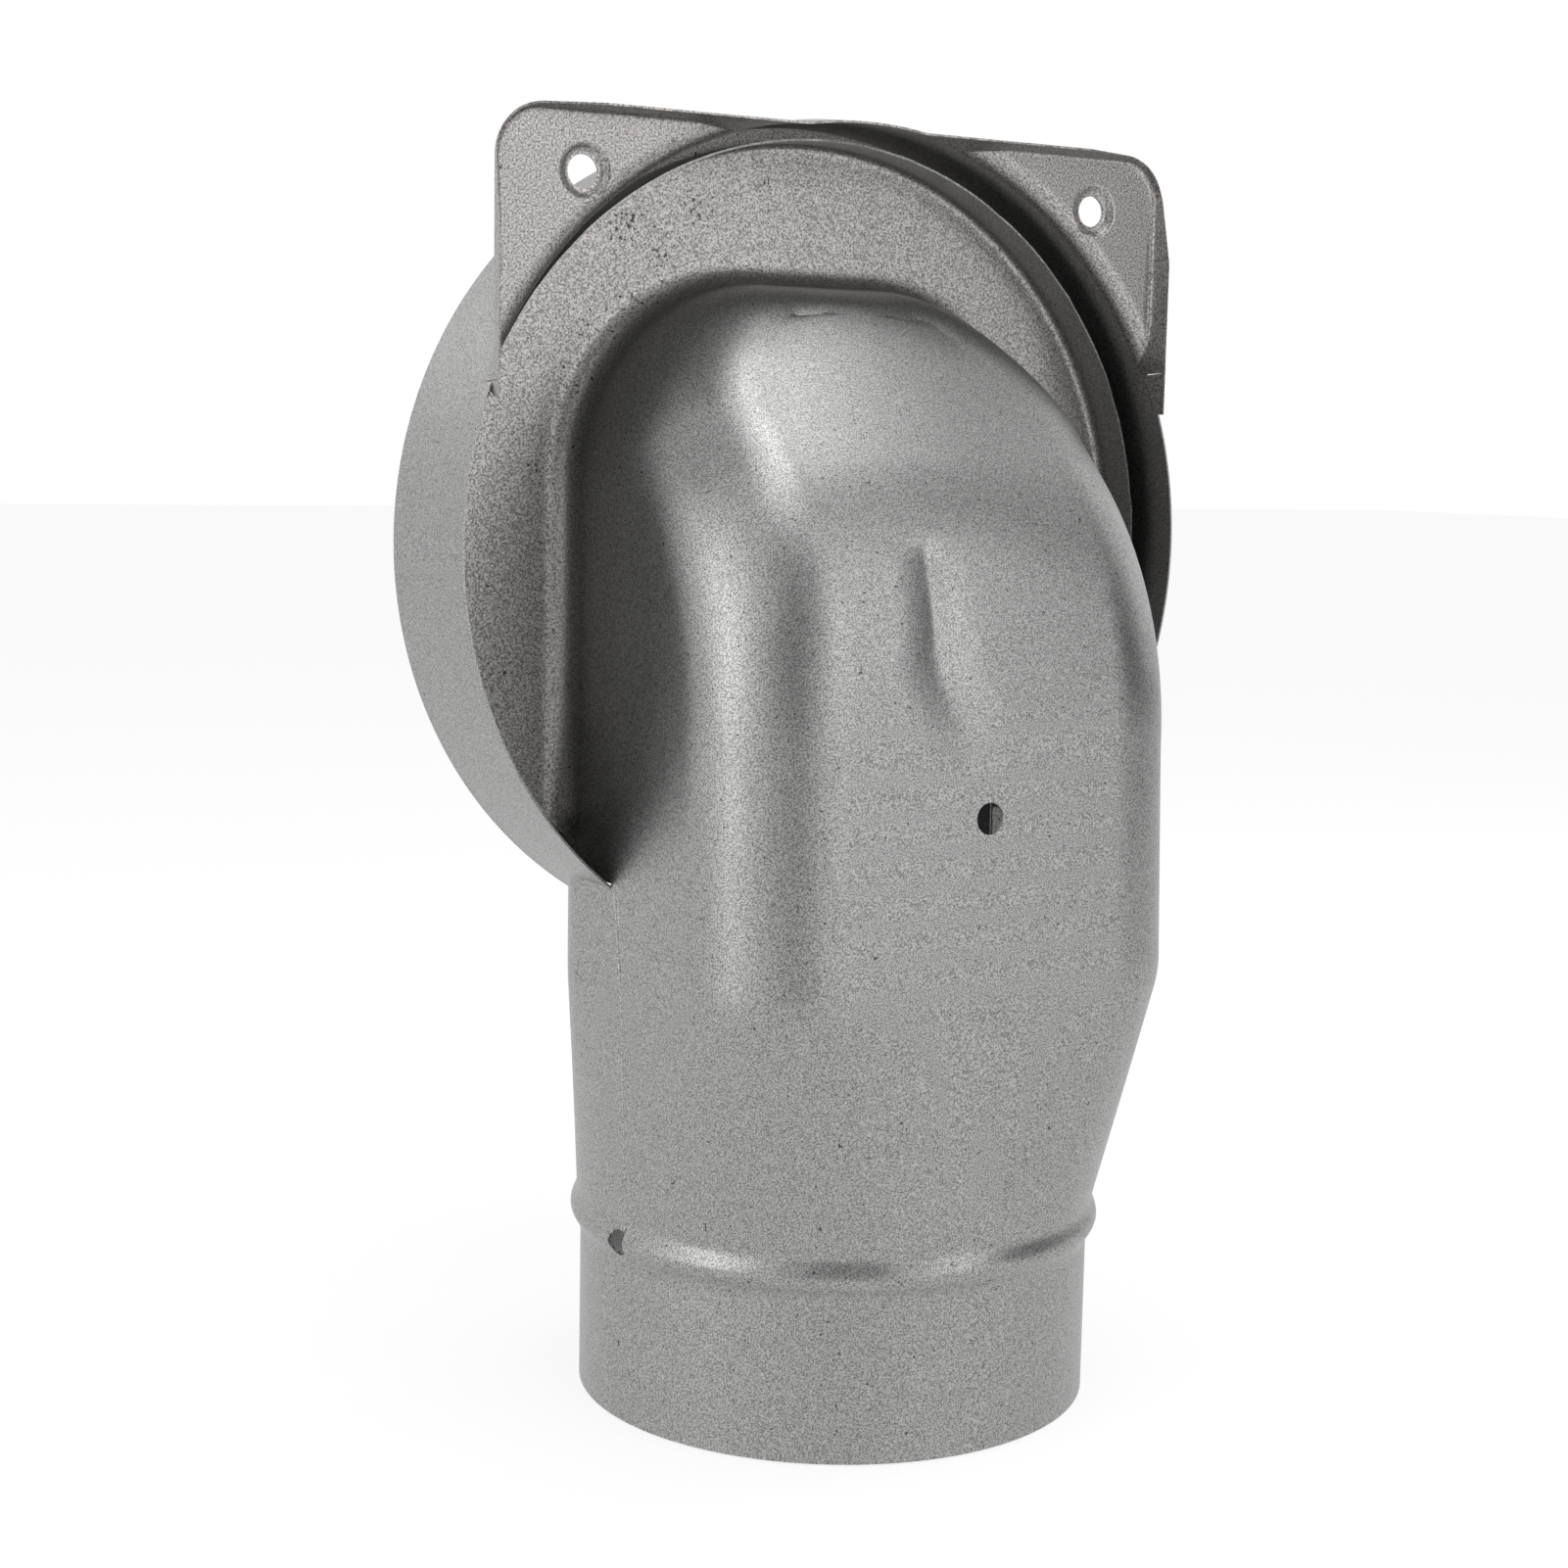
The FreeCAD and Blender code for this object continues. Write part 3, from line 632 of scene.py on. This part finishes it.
def earPlate(angle, plateEnd):
    # out from the collar by a quarter bend and the flat plate; round each screw hole the cells are drawn in
    # to circles, those inside are left out, and the dimple is pressed back by a smooth step
    s, c = rearSettings, collarSettings
    radius, cells = c["radius"], s["holeCells"]
    plateStart = radius + s["earBend"]
    bend = np.linspace(0.0, math.pi / 2, s["bendCells"] + 1)[1:]
    bendRho = radius + s["earBend"] * (1.0 - np.cos(bend))
    run = np.linspace(0.0, 1.0, s["plateCells"] + 1)[None, 1:]
    plate = plateStart + (np.maximum(plateEnd, plateStart) - plateStart)[:, None] * run
    onCollar = np.full((len(angle), 1), radius)
    bent = np.broadcast_to(bendRho[None, :], (len(angle), len(bendRho)))
    rho = np.minimum(np.concatenate([onCollar, bent, plate], axis=1), plateEnd[:, None])
    x, z = rho * np.cos(angle)[:, None], rho * np.sin(angle)[:, None] + c["height"]
    kept = np.ones((rho.shape[0] - 1, rho.shape[1] - 1), bool)
    pressed = np.zeros(rho.shape)
    rowIndex, columnIndex = np.indices(rho.shape)
    for side in (1.0, -1.0):
        centreX, centreZ = side * s["holeSpacing"] / 2, s["holeHeight"]
        i, j = np.unravel_index(np.argmin(np.hypot(x - centreX, z - centreZ)), x.shape)
        m = np.maximum(np.abs(rowIndex - i), np.abs(columnIndex - j)) / cells
        dx, dz = x - centreX, z - centreZ
        away = np.maximum(np.hypot(dx, dz), 1e-6)
        ring = np.interp(m, [0.0, 1.0, 2.0, 3.0], [0.0, s["holeRadius"], *s["dimpleRings"]])
        blend = np.clip(m - 2.0, 0.0, 1.0)
        near = m < 3.0
        x = np.where(near, (1.0 - blend) * (centreX + dx / away * ring) + blend * x, x)
        z = np.where(near, (1.0 - blend) * (centreZ + dz / away * ring) + blend * z, z)
        kept[i - cells:i + cells, j - cells:j + cells] = False
        away = np.hypot(x - centreX, z - centreZ)
        pressed += s["dimpleDepth"] * smooth((s["dimpleRadius"] - away) / s["dimpleSlope"])
    face = bendDepth(np.hypot(x, z - c["height"])) + pressed
    return np.stack([x, face, z], axis=-1), kept


def lipEdgeDrop(edgeX, edgeZ):
    # across each ear's corner the lip dips, by a straight rise and fall along the corner's diagonal
    s = rearSettings
    dip = np.zeros(edgeX.shape)
    for side, wall in ((1.0, s["earRight"]), (-1.0, -s["earLeft"])):
        middle = (wall + s["earTop"]) - s["earCorner"] * (2.0 - math.sqrt(2.0))
        behind = (middle - (side * edgeX + edgeZ)) / math.sqrt(2.0)
        dip = np.maximum(dip, s["cornerDip"] * np.clip(1.0 - behind / s["dipRun"], 0.0, 1.0))
    return dip


def earLip(angle, reach, plateEnd, plateDepth):
    # from the face's edge the lip turns through a small bend, then runs forward and a little outwards
    s, c = rearSettings, collarSettings
    radius = c["radius"]
    lean = math.radians(s["lipLean"])
    slope = np.arccos(np.clip((radius + s["earBend"] - plateEnd) / s["earBend"], 0.0, 1.0))
    bend = np.linspace(0.0, 1.0, s["lipBendCells"] + 1)[None, 1:]
    bent = slope[:, None] + (np.minimum(lean, slope) - slope)[:, None] * bend
    rho = plateEnd[:, None] + s["lipBend"] * (np.cos(bent) - np.cos(slope)[:, None])
    y = plateDepth - s["lipBend"] * (np.sin(slope)[:, None] - np.sin(bent))
    crown = (np.abs(angle - math.pi / 2) < s["crownHalf"]) & (reach < radius)
    spread = s["lipHeight"] * math.tan(lean)
    edgeRho = np.maximum(outlineReach(angle, spread), np.where(crown, radius - s["crownDrop"], 0.0))
    dip = lipEdgeDrop(edgeRho * np.cos(angle), edgeRho * np.sin(angle) + c["height"])
    height = s["lipHeight"] - dip
    run = np.linspace(0.0, 1.0, s["lipCells"] + 1)[None, 1:]
    upRho = rho[:, -1:] + (edgeRho - rho[:, -1])[:, None] * run * (height / s["lipHeight"])[:, None]
    upY = y[:, -1:] + (-height - y[:, -1])[:, None] * run
    rho, y = np.concatenate([rho, upRho], axis=1), np.concatenate([y, upY], axis=1)
    return np.stack([rho * np.cos(angle)[:, None], y, rho * np.sin(angle)[:, None] + c["height"]], axis=-1)


def collarSides(wallY, start, end):
    # the collar's cylinder from the ears down to the tube, whose section its lower ends follow
    s, c = rearSettings, collarSettings
    radius, corner = c["radius"], s["cornerRadius"]
    depths = np.concatenate([wallY, np.linspace(s["earBend"], c["front"], s["sideEndCells"] + 1)])
    into = np.clip((depths - (c["back"] - corner)) / corner, 0.0, 1.0)
    lowest = -np.arccos((s["footHalf"] - corner * (1.0 - np.sqrt(1.0 - into ** 2))) / radius)[None, :]
    run = np.linspace(0.0, 1.0, s["sideCells"] + 1)[:, None]
    sides = []
    for turn in (lowest + (start - lowest) * run, math.pi - (lowest + (math.pi - end - lowest) * run)):
        depth = np.broadcast_to(depths[None, :], turn.shape)
        sides.append(np.stack([radius * np.cos(turn), depth, radius * np.sin(turn) + c["height"]], axis=-1))
    return [(sides[0], None), (sides[1][::-1], None)]


def lipTongues(start, end):
    # the lips' lower ends, slit from the collar: flat strips whose back edge slants forward on the way down
    s, c = rearSettings, collarSettings
    lean = math.radians(s["lipLean"])
    drop = np.linspace(0.0, 1.0, s["tongueRows"] + 1)[:, None]
    across = np.linspace(0.0, 1.0, s["tongueCells"] + 1)[None, :]
    patches = []
    for wall, place, order in ((s["earRight"], start, -1), (s["earLeft"], end, 1)):
        slit = s["earBend"] + (s["slitEnd"] - s["earBend"]) * drop ** s["slitPower"]
        y = slit + (-s["lipHeight"] - slit) * across
        x = wall + np.sign(wall) * np.maximum(-y, 0.0) * math.tan(lean)
        top = c["height"] + np.abs(x) * abs(math.tan(place))
        z = top + (s["earBottom"] - top) * drop
        patches.append((np.stack([x, y, z], axis=-1)[::order], None))
    return patches


def collarAndEars():
    # one patch runs from the collar's back edge over the ears to the lip's edge, and the others lie below it
    s, c = rearSettings, collarSettings
    radius = c["radius"]
    angle, start, end = earSweep()
    reach = outlineReach(angle, 0.0)
    plateEnd = np.maximum(reach - s["lipRoom"], radius)
    plate, keptPlate = earPlate(angle, plateEnd)
    wallY = np.linspace(c["back"], s["earBend"], s["wallCells"] + 1)[:-1]
    wallX, wallZ = radius * np.cos(angle)[:, None], radius * np.sin(angle)[:, None] + c["height"]
    size = (len(angle), s["wallCells"])
    back = np.stack([np.broadcast_to(wallX, size), np.broadcast_to(wallY[None, :], size),
                     np.broadcast_to(wallZ, size)], axis=-1)
    rows = np.concatenate([back, plate, earLip(angle, reach, plateEnd, plate[:, -1:, 1])], axis=1)
    kept = np.ones((rows.shape[0] - 1, rows.shape[1] - 1), bool)
    kept[:, s["wallCells"]:s["wallCells"] + keptPlate.shape[1]] = keptPlate
    return [(rows, kept)] + collarSides(wallY, start, end) + lipTongues(start, end)


rearPiece = sheetPiece("rearShellSheet", [rearTube()] + collarAndEars(), tubeSettings["sheet"])
print("rear shell made")


def linear(code):
    # sRGB hex to the linear colour that the shaders take
    parts = [int(code[i:i + 2], 16) / 255.0 for i in (0, 2, 4)]
    return tuple(p / 12.92 if p <= 0.04045 else ((p + 0.055) / 1.055) ** 2.4 for p in parts) + (1.0,)


def addNode(tree, kind, settings=None, links=None):
    # one node with its properties or input values, and the sockets that feed it
    node = tree.nodes.new(kind)
    for key, value in (settings or {}).items():
        if isinstance(key, str) and hasattr(node, key):
            setattr(node, key, value)
        else:
            node.inputs[key].default_value = value
    for key, socket in (links or {}).items():
        tree.links.new(socket, node.inputs[key])
    return node


# Finish of the sheet. Places and reaches of the scuffs and the ears' corner specks are in millimetres, the
# rest in metres.
steelSettings = {
    "colour": "B5B5B4",
    "darkColour": "767675",
    "coarseColour": "BFBCBA",
    "coarseDark": "716F6E",
    "contrast": (0.36, 0.64), # part of each grain's noise that spans its two colours
    "roughness": 0.40,
    "roughSpread": 0.04,
    "grain": 0.00028,         # skin-passed zinc; the real grain is finer and would not show
    "coarseGrain": 0.00038,   # where the press ironed the sheet, on the disc and the ears
    "mottle": 0.006,
    "grainDepth": 0.00003,
    "coarseDepth": 0.00004,
    "scuffColour": "3B3836",
    "scuffGrain": 0.0009,
    "scuffWeight": 0.16,      # how much a near scuff adds to the noise, and where its specks begin
    "scuffEdge": (0.68, 0.72),
    "scuffStrength": 0.9,
    # pits and scuffs left by the press on the disc: x, y, z, reach, and how dense
    "frontScuffs": [
        (-38.7, 18.9, 224.3, 9.0, 1.0), (-24.0, 18.9, 227.5, 7.0, 0.9), (-31.0, 18.9, 219.0, 10.0, 0.7),
        (-37.0, 18.9, 211.0, 8.0, 0.7), (-46.7, 18.9, 205.0, 9.0, 0.7), (-50.0, 18.9, 194.0, 8.0, 0.6),
        (-58.0, 18.9, 178.0, 8.0, 0.5), (-68.0, 18.9, 158.0, 8.0, 0.6), (-66.0, 18.9, 139.0, 9.0, 0.8),
        (-8.4, 18.9, 233.2, 2.2, 1.3),
    ],
    # dark specks by the ears' upper corners, on the lips: x, y, z, reach, and how dense
    "rearCornerSpecks": [(-74.2, 0.0, 229.9, 3.0, 1.4), (73.6, -1.0, 235.4, 3.0, 1.1)],
    # where the coarse grain comes in: from one depth to the next, and from one height to the next
    "frontCoarse": ((0.0150, 0.0185), (0.0, 0.001)),
    "rearCoarse": ((0.0040, 0.0020), (0.186, 0.192)),
}


def steelTint(tree, grain, dark, light):
    # the grain's two greys, with the middle of its noise spread over them
    s = steelSettings
    low, high = s["contrast"]
    share = addNode(tree, "ShaderNodeMapRange", {"From Min": low, "From Max": high}, {"Value": grain})
    tint = addNode(tree, "ShaderNodeMix", {"data_type": "RGBA", 6: linear(dark), 7: linear(light)},
                   {0: share.outputs[0]})
    return tint.outputs[2]


def scuffShare(tree, place, scuffs):
    # dark specks: noise pushed over its edge where a given spot is near, by how far its place is from there
    s = steelSettings
    near = None
    for x, y, z, reach, dense in scuffs:
        away = addNode(tree, "ShaderNodeVectorMath",
                       {"operation": "DISTANCE", 1: (x / 1000, y / 1000, z / 1000)}, {0: place})
        fall = addNode(tree, "ShaderNodeMapRange",
                       {"From Min": 0.0, "From Max": reach / 1000, "To Min": dense, "To Max": 0.0},
                       {"Value": away.outputs["Value"]}).outputs[0]
        if near is None:
            near = fall
        else:
            near = addNode(tree, "ShaderNodeMath", {"operation": "MAXIMUM"}, {0: near, 1: fall}).outputs[0]
    speck = addNode(tree, "ShaderNodeTexNoise", {"Scale": 1.0 / s["scuffGrain"], "Detail": 3.0},
                    {"Vector": place}).outputs["Fac"]
    raised = addNode(tree, "ShaderNodeMath", {"operation": "MULTIPLY_ADD", 1: s["scuffWeight"]},
                     {0: near, 2: speck})
    low, high = s["scuffEdge"]
    worn = addNode(tree, "ShaderNodeMapRange",
                   {"From Min": low, "From Max": high, "To Max": s["scuffStrength"]},
                   {"Value": raised.outputs[0]})
    return worn.outputs[0]


def steel(name, coarsePlace, scuffs):
    # galvanised steel sheet, skin-passed and then pressed: the eye sees a satin mid grey with a fine
    # sparkling grain, coarser and paler where the press ironed it, with dark scuffs where the tool dragged on
    # the disc and dark specks by the ears' corners
    s = steelSettings
    material = bpy.data.materials.new(name)
    material.use_nodes = True
    tree = material.node_tree
    tree.nodes.clear()
    place = addNode(tree, "ShaderNodeTexCoord").outputs["Object"]
    axes = addNode(tree, "ShaderNodeSeparateXYZ", links={0: place})
    inDepth, inHeight = [
        addNode(tree, "ShaderNodeMapRange", {"From Min": low, "From Max": high},
                {"Value": axes.outputs[axis]}).outputs[0]
        for axis, (low, high) in zip(("Y", "Z"), coarsePlace)]
    coarse = addNode(tree, "ShaderNodeMath", {"operation": "MULTIPLY"}, {0: inDepth, 1: inHeight}).outputs[0]
    fine, rough, mottle = [
        addNode(tree, "ShaderNodeTexNoise", {"Scale": 1.0 / s[key], "Detail": detail},
                {"Vector": place}).outputs["Fac"]
        for key, detail in (("grain", 1.0), ("coarseGrain", 2.0), ("mottle", 3.0))]
    clean = addNode(tree, "ShaderNodeMix", {"data_type": "RGBA"},
                    {0: coarse, 6: steelTint(tree, fine, s["darkColour"], s["colour"]),
                     7: steelTint(tree, rough, s["coarseDark"], s["coarseColour"])})
    colour = addNode(tree, "ShaderNodeMix", {"data_type": "RGBA", 7: linear(s["scuffColour"])},
                     {0: scuffShare(tree, place, scuffs), 6: clean.outputs[2]})
    height = addNode(tree, "ShaderNodeMath", {"operation": "MULTIPLY", 1: s["coarseDepth"]}, {0: rough})
    coarseHeight = addNode(tree, "ShaderNodeMath", {"operation": "MULTIPLY"},
                           {0: height.outputs[0], 1: coarse})
    relief = addNode(tree, "ShaderNodeMath", {"operation": "MULTIPLY_ADD", 1: s["grainDepth"]},
                     {0: fine, 2: coarseHeight.outputs[0]})
    bump = addNode(tree, "ShaderNodeBump", {"Distance": 1.0, "Strength": 1.0}, {"Height": relief.outputs[0]})
    smoothest, roughest = s["roughness"] - s["roughSpread"], s["roughness"] + s["roughSpread"]
    gloss = addNode(tree, "ShaderNodeMapRange", {"To Min": smoothest, "To Max": roughest}, {"Value": mottle})
    shader = addNode(tree, "ShaderNodeBsdfPrincipled", {"Metallic": 1.0},
                     {"Base Color": colour.outputs[2], "Roughness": gloss.outputs[0],
                      "Normal": bump.outputs[0]})
    addNode(tree, "ShaderNodeOutputMaterial", links={"Surface": shader.outputs[0]})
    return material


frontSteel = steel("galvanisedSteelDrawn", steelSettings["frontCoarse"], steelSettings["frontScuffs"])
rearSteel = steel("galvanisedSteelPressed", steelSettings["rearCoarse"], steelSettings["rearCornerSpecks"])
for piece, material, node, slot in ((frontPiece, frontSteel, "front_shell", "front_sheet"),
                                    (rearPiece, rearSteel, "rear_shell", "rear_sheet")):
    piece.data.materials.clear()
    piece.data.materials.append(material)
    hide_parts(node)
    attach(piece, "root")
print("finishes set")


# The camera stands where the photograph was taken from: left of the front, a little above it
cameraSettings = {
    "azimuth": -31.5,         # degrees left of straight on
    "elevation": 7.52,        # degrees looking down
    "roll": 1.113,            # degrees the picture leans
    "distance": 0.50231,      # metres from the point it looks at
    "aimHeight": 0.11773,     # metres above the floor
    "aimShift": -0.01132,     # metres to the side
    "lens": 59.27,            # millimetres on a 36 mm sensor
    "sensor": 36,
}


def direction(azimuth, elevation):
    # unit vector from the object: azimuth 0 is straight ahead of it, 90 to its right as seen from the front
    a, e = math.radians(azimuth), math.radians(elevation)
    return Vector((math.sin(a) * math.cos(e), -math.cos(a) * math.cos(e), math.sin(e)))


def addCamera(settings):
    # looks back along its direction at the aim, with its right and up turned by the roll
    roll = math.radians(settings["roll"])
    back = direction(settings["azimuth"], settings["elevation"])
    right = (-back).cross(Vector((0, 0, 1))).normalized()
    up = back.cross(right)
    leanRight = right * math.cos(roll) + up * math.sin(roll)
    leanUp = up * math.cos(roll) - right * math.sin(roll)
    place = back * settings["distance"] + Vector((0, 0, settings["aimHeight"])) + right * settings["aimShift"]
    data = bpy.data.cameras.new("photoCamera")
    data.sensor_width = settings["sensor"]
    data.lens = settings["lens"]
    camera = bpy.data.objects.new("photoCamera", data)
    turn = Matrix((leanRight, leanUp, back)).transposed().to_4x4()
    camera.matrix_world = Matrix.Translation(place) @ turn
    bpy.context.scene.collection.objects.link(camera)
    bpy.context.scene.camera = camera


addCamera(cameraSettings)

# Lamps and cards stand on a ball round the object and face its middle; sizes are in metres
studioSettings = {
    "centre": 0.12,           # height that they face
    "lampDistance": 0.90,
    "cardDistance": 0.94,
    "lamps": [
        # name, azimuth, elevation, width, height, level
        ("leftHigh", -60.8, 55.7, 0.65, 0.94, 1.07),
        ("frontSmall", 27.2, 29.1, 0.19, 0.26, 2.9),
        ("leftLow", -85.7, 13.5, 0.33, 0.66, 2.1),
        ("frontLow", 12.8, 11.4, 0.73, 0.54, 1.28),
        ("rightStrip", 36.1, 42.7, 0.18, 0.32, 3.15),
        ("topBox", 46.0, 76.5, 0.71, 0.24, 4.0),
        ("backBox", -153.8, 48.1, 0.37, 1.00, 0.56),
        ("rightBox", 92.7, 27.0, 0.50, 0.78, 1.25),
    ],
    "cards": [
        # name, azimuth, elevation, width, height, level
        ("cardFront", -11.1, 20.6, 1.36, 1.15, 0.24),
        ("cardRight", 71.7, 29.6, 1.36, 1.15, 0.01),
        ("cardTop", -86.8, 71.5, 1.36, 1.11, 0.01),
    ],
    "flagMiddle": (0.040, 0.078, 0.145),     # behind the mouth
    "flagSize": (0.10, 0.12),
    "ambient": 0.95,
    "floorHalf": 6.0,
    "floorDrop": 0.0003,      # keeps the floor just under the spigot's edge
    "floorGrey": 0.78,
    "floorWhite": 0.8,        # share of plain white that the camera and reflections see in the floor
}


def addLamp(name, azimuth, elevation, width, height, level):
    # square-on area lamp whose power is pi times level times area, so that level is its own brightness
    data = bpy.data.lights.new(name, "AREA")
    data.shape = "RECTANGLE"
    data.size, data.size_y = width, height
    data.energy = math.pi * level * width * height
    lamp = bpy.data.objects.new(name, data)
    ahead = direction(azimuth, elevation)
    lamp.location = Vector((0, 0, studioSettings["centre"])) + ahead * studioSettings["lampDistance"]
    lamp.rotation_euler = ahead.to_track_quat("Z", "Y").to_euler()
    lamp.visible_camera = False
    bpy.context.scene.collection.objects.link(lamp)


def flatCard(name, middle, across, up, material):
    # rectangle from its middle and the half sides across and up
    mesh = bpy.data.meshes.new(name)
    corners = [middle - across - up, middle + across - up, middle + across + up, middle - across + up]
    mesh.from_pydata(corners, [], [(0, 1, 2, 3)])
    mesh.materials.append(material)
    card = bpy.data.objects.new(name, mesh)
    bpy.context.scene.collection.objects.link(card)
    return card


def plainGrey(level):
    # grey of one linear value
    return (level, level, level, 1.0)


def paper(name, level):
    # card of one even brightness
    material = bpy.data.materials.new(name + "Paper")
    material.use_nodes = True
    tree = material.node_tree
    tree.nodes.clear()
    glow = addNode(tree, "ShaderNodeEmission", {"Color": plainGrey(level), "Strength": 1.0})
    addNode(tree, "ShaderNodeOutputMaterial", links={"Surface": glow.outputs[0]})
    return material


def addReflector(name, azimuth, elevation, width, height, level):
    # card that only the metal's reflections see: it gives the sheet its darker bands
    ahead = direction(azimuth, elevation)
    middle = Vector((0, 0, studioSettings["centre"])) + ahead * studioSettings["cardDistance"]
    across = direction(azimuth + 90.0, 0.0)
    up = across.cross(ahead) if across.cross(ahead).z > 0 else ahead.cross(across)
    card = flatCard(name, middle, across * (width / 2), up * (height / 2), paper(name, level))
    card.visible_camera = False
    card.visible_diffuse = False
    card.visible_shadow = False


def addFlag():
    # a black flag behind the mouth, out of the camera's sight, keeps the inside dark
    width, height = studioSettings["flagSize"]
    flag = flatCard("flagMouth", Vector(studioSettings["flagMiddle"]), Vector((width / 2, 0, 0)),
                    Vector((0, 0, height / 2)), paper("flagMouth", 0.0))
    flag.visible_camera = False
    flag.visible_diffuse = False


def floorPaint():
    # matt white floor: pale by its own colour, and to camera and reflections mostly plain white with a
    # soft shadow
    s = studioSettings
    material = bpy.data.materials.new("mattWhiteFloor")
    material.use_nodes = True
    tree = material.node_tree
    tree.nodes.clear()
    path = addNode(tree, "ShaderNodeLightPath")
    plain = addNode(tree, "ShaderNodeBsdfDiffuse", {"Color": plainGrey(s["floorGrey"])})
    white = addNode(tree, "ShaderNodeEmission", {"Color": plainGrey(1.0), "Strength": 1.0})
    eye = addNode(tree, "ShaderNodeMath", {"operation": "MAXIMUM"},
                  {0: path.outputs["Is Camera Ray"], 1: path.outputs["Is Glossy Ray"]})
    share = addNode(tree, "ShaderNodeMath", {"operation": "MULTIPLY", 1: s["floorWhite"]},
                    {0: eye.outputs[0]})
    paint = addNode(tree, "ShaderNodeMixShader",
                    links={0: share.outputs[0], 1: plain.outputs[0], 2: white.outputs[0]})
    addNode(tree, "ShaderNodeOutputMaterial", links={"Surface": paint.outputs[0]})
    return material


def addWorld():
    # plain ambient light, and white to the camera, reflections and transmission
    world = bpy.data.worlds.new("studio")
    bpy.context.scene.world = world
    world.use_nodes = True
    tree = world.node_tree
    tree.nodes.clear()
    path = addNode(tree, "ShaderNodeLightPath")
    seen = path.outputs["Is Camera Ray"]
    for ray in ("Is Glossy Ray", "Is Transmission Ray"):
        seen = addNode(tree, "ShaderNodeMath", {"operation": "MAXIMUM"},
                       {0: seen, 1: path.outputs[ray]}).outputs[0]
    sky = addNode(tree, "ShaderNodeMix", {"data_type": "RGBA", 6: plainGrey(studioSettings["ambient"]),
                                          7: plainGrey(1.0)}, {0: seen})
    light = addNode(tree, "ShaderNodeBackground", {"Strength": 1.0}, {"Color": sky.outputs[2]})
    addNode(tree, "ShaderNodeOutputWorld", links={"Surface": light.outputs[0]})


for lampSettings in studioSettings["lamps"]:
    addLamp(*lampSettings)
for reflectorSettings in studioSettings["cards"]:
    addReflector(*reflectorSettings)
addFlag()
floorHalf = studioSettings["floorHalf"]
flatCard("floor", Vector((0, 0, -studioSettings["floorDrop"])), Vector((floorHalf, 0, 0)),
         Vector((0, floorHalf, 0)), floorPaint())
addWorld()
bpy.context.scene.view_settings.view_transform = "Standard"
print("studio set")
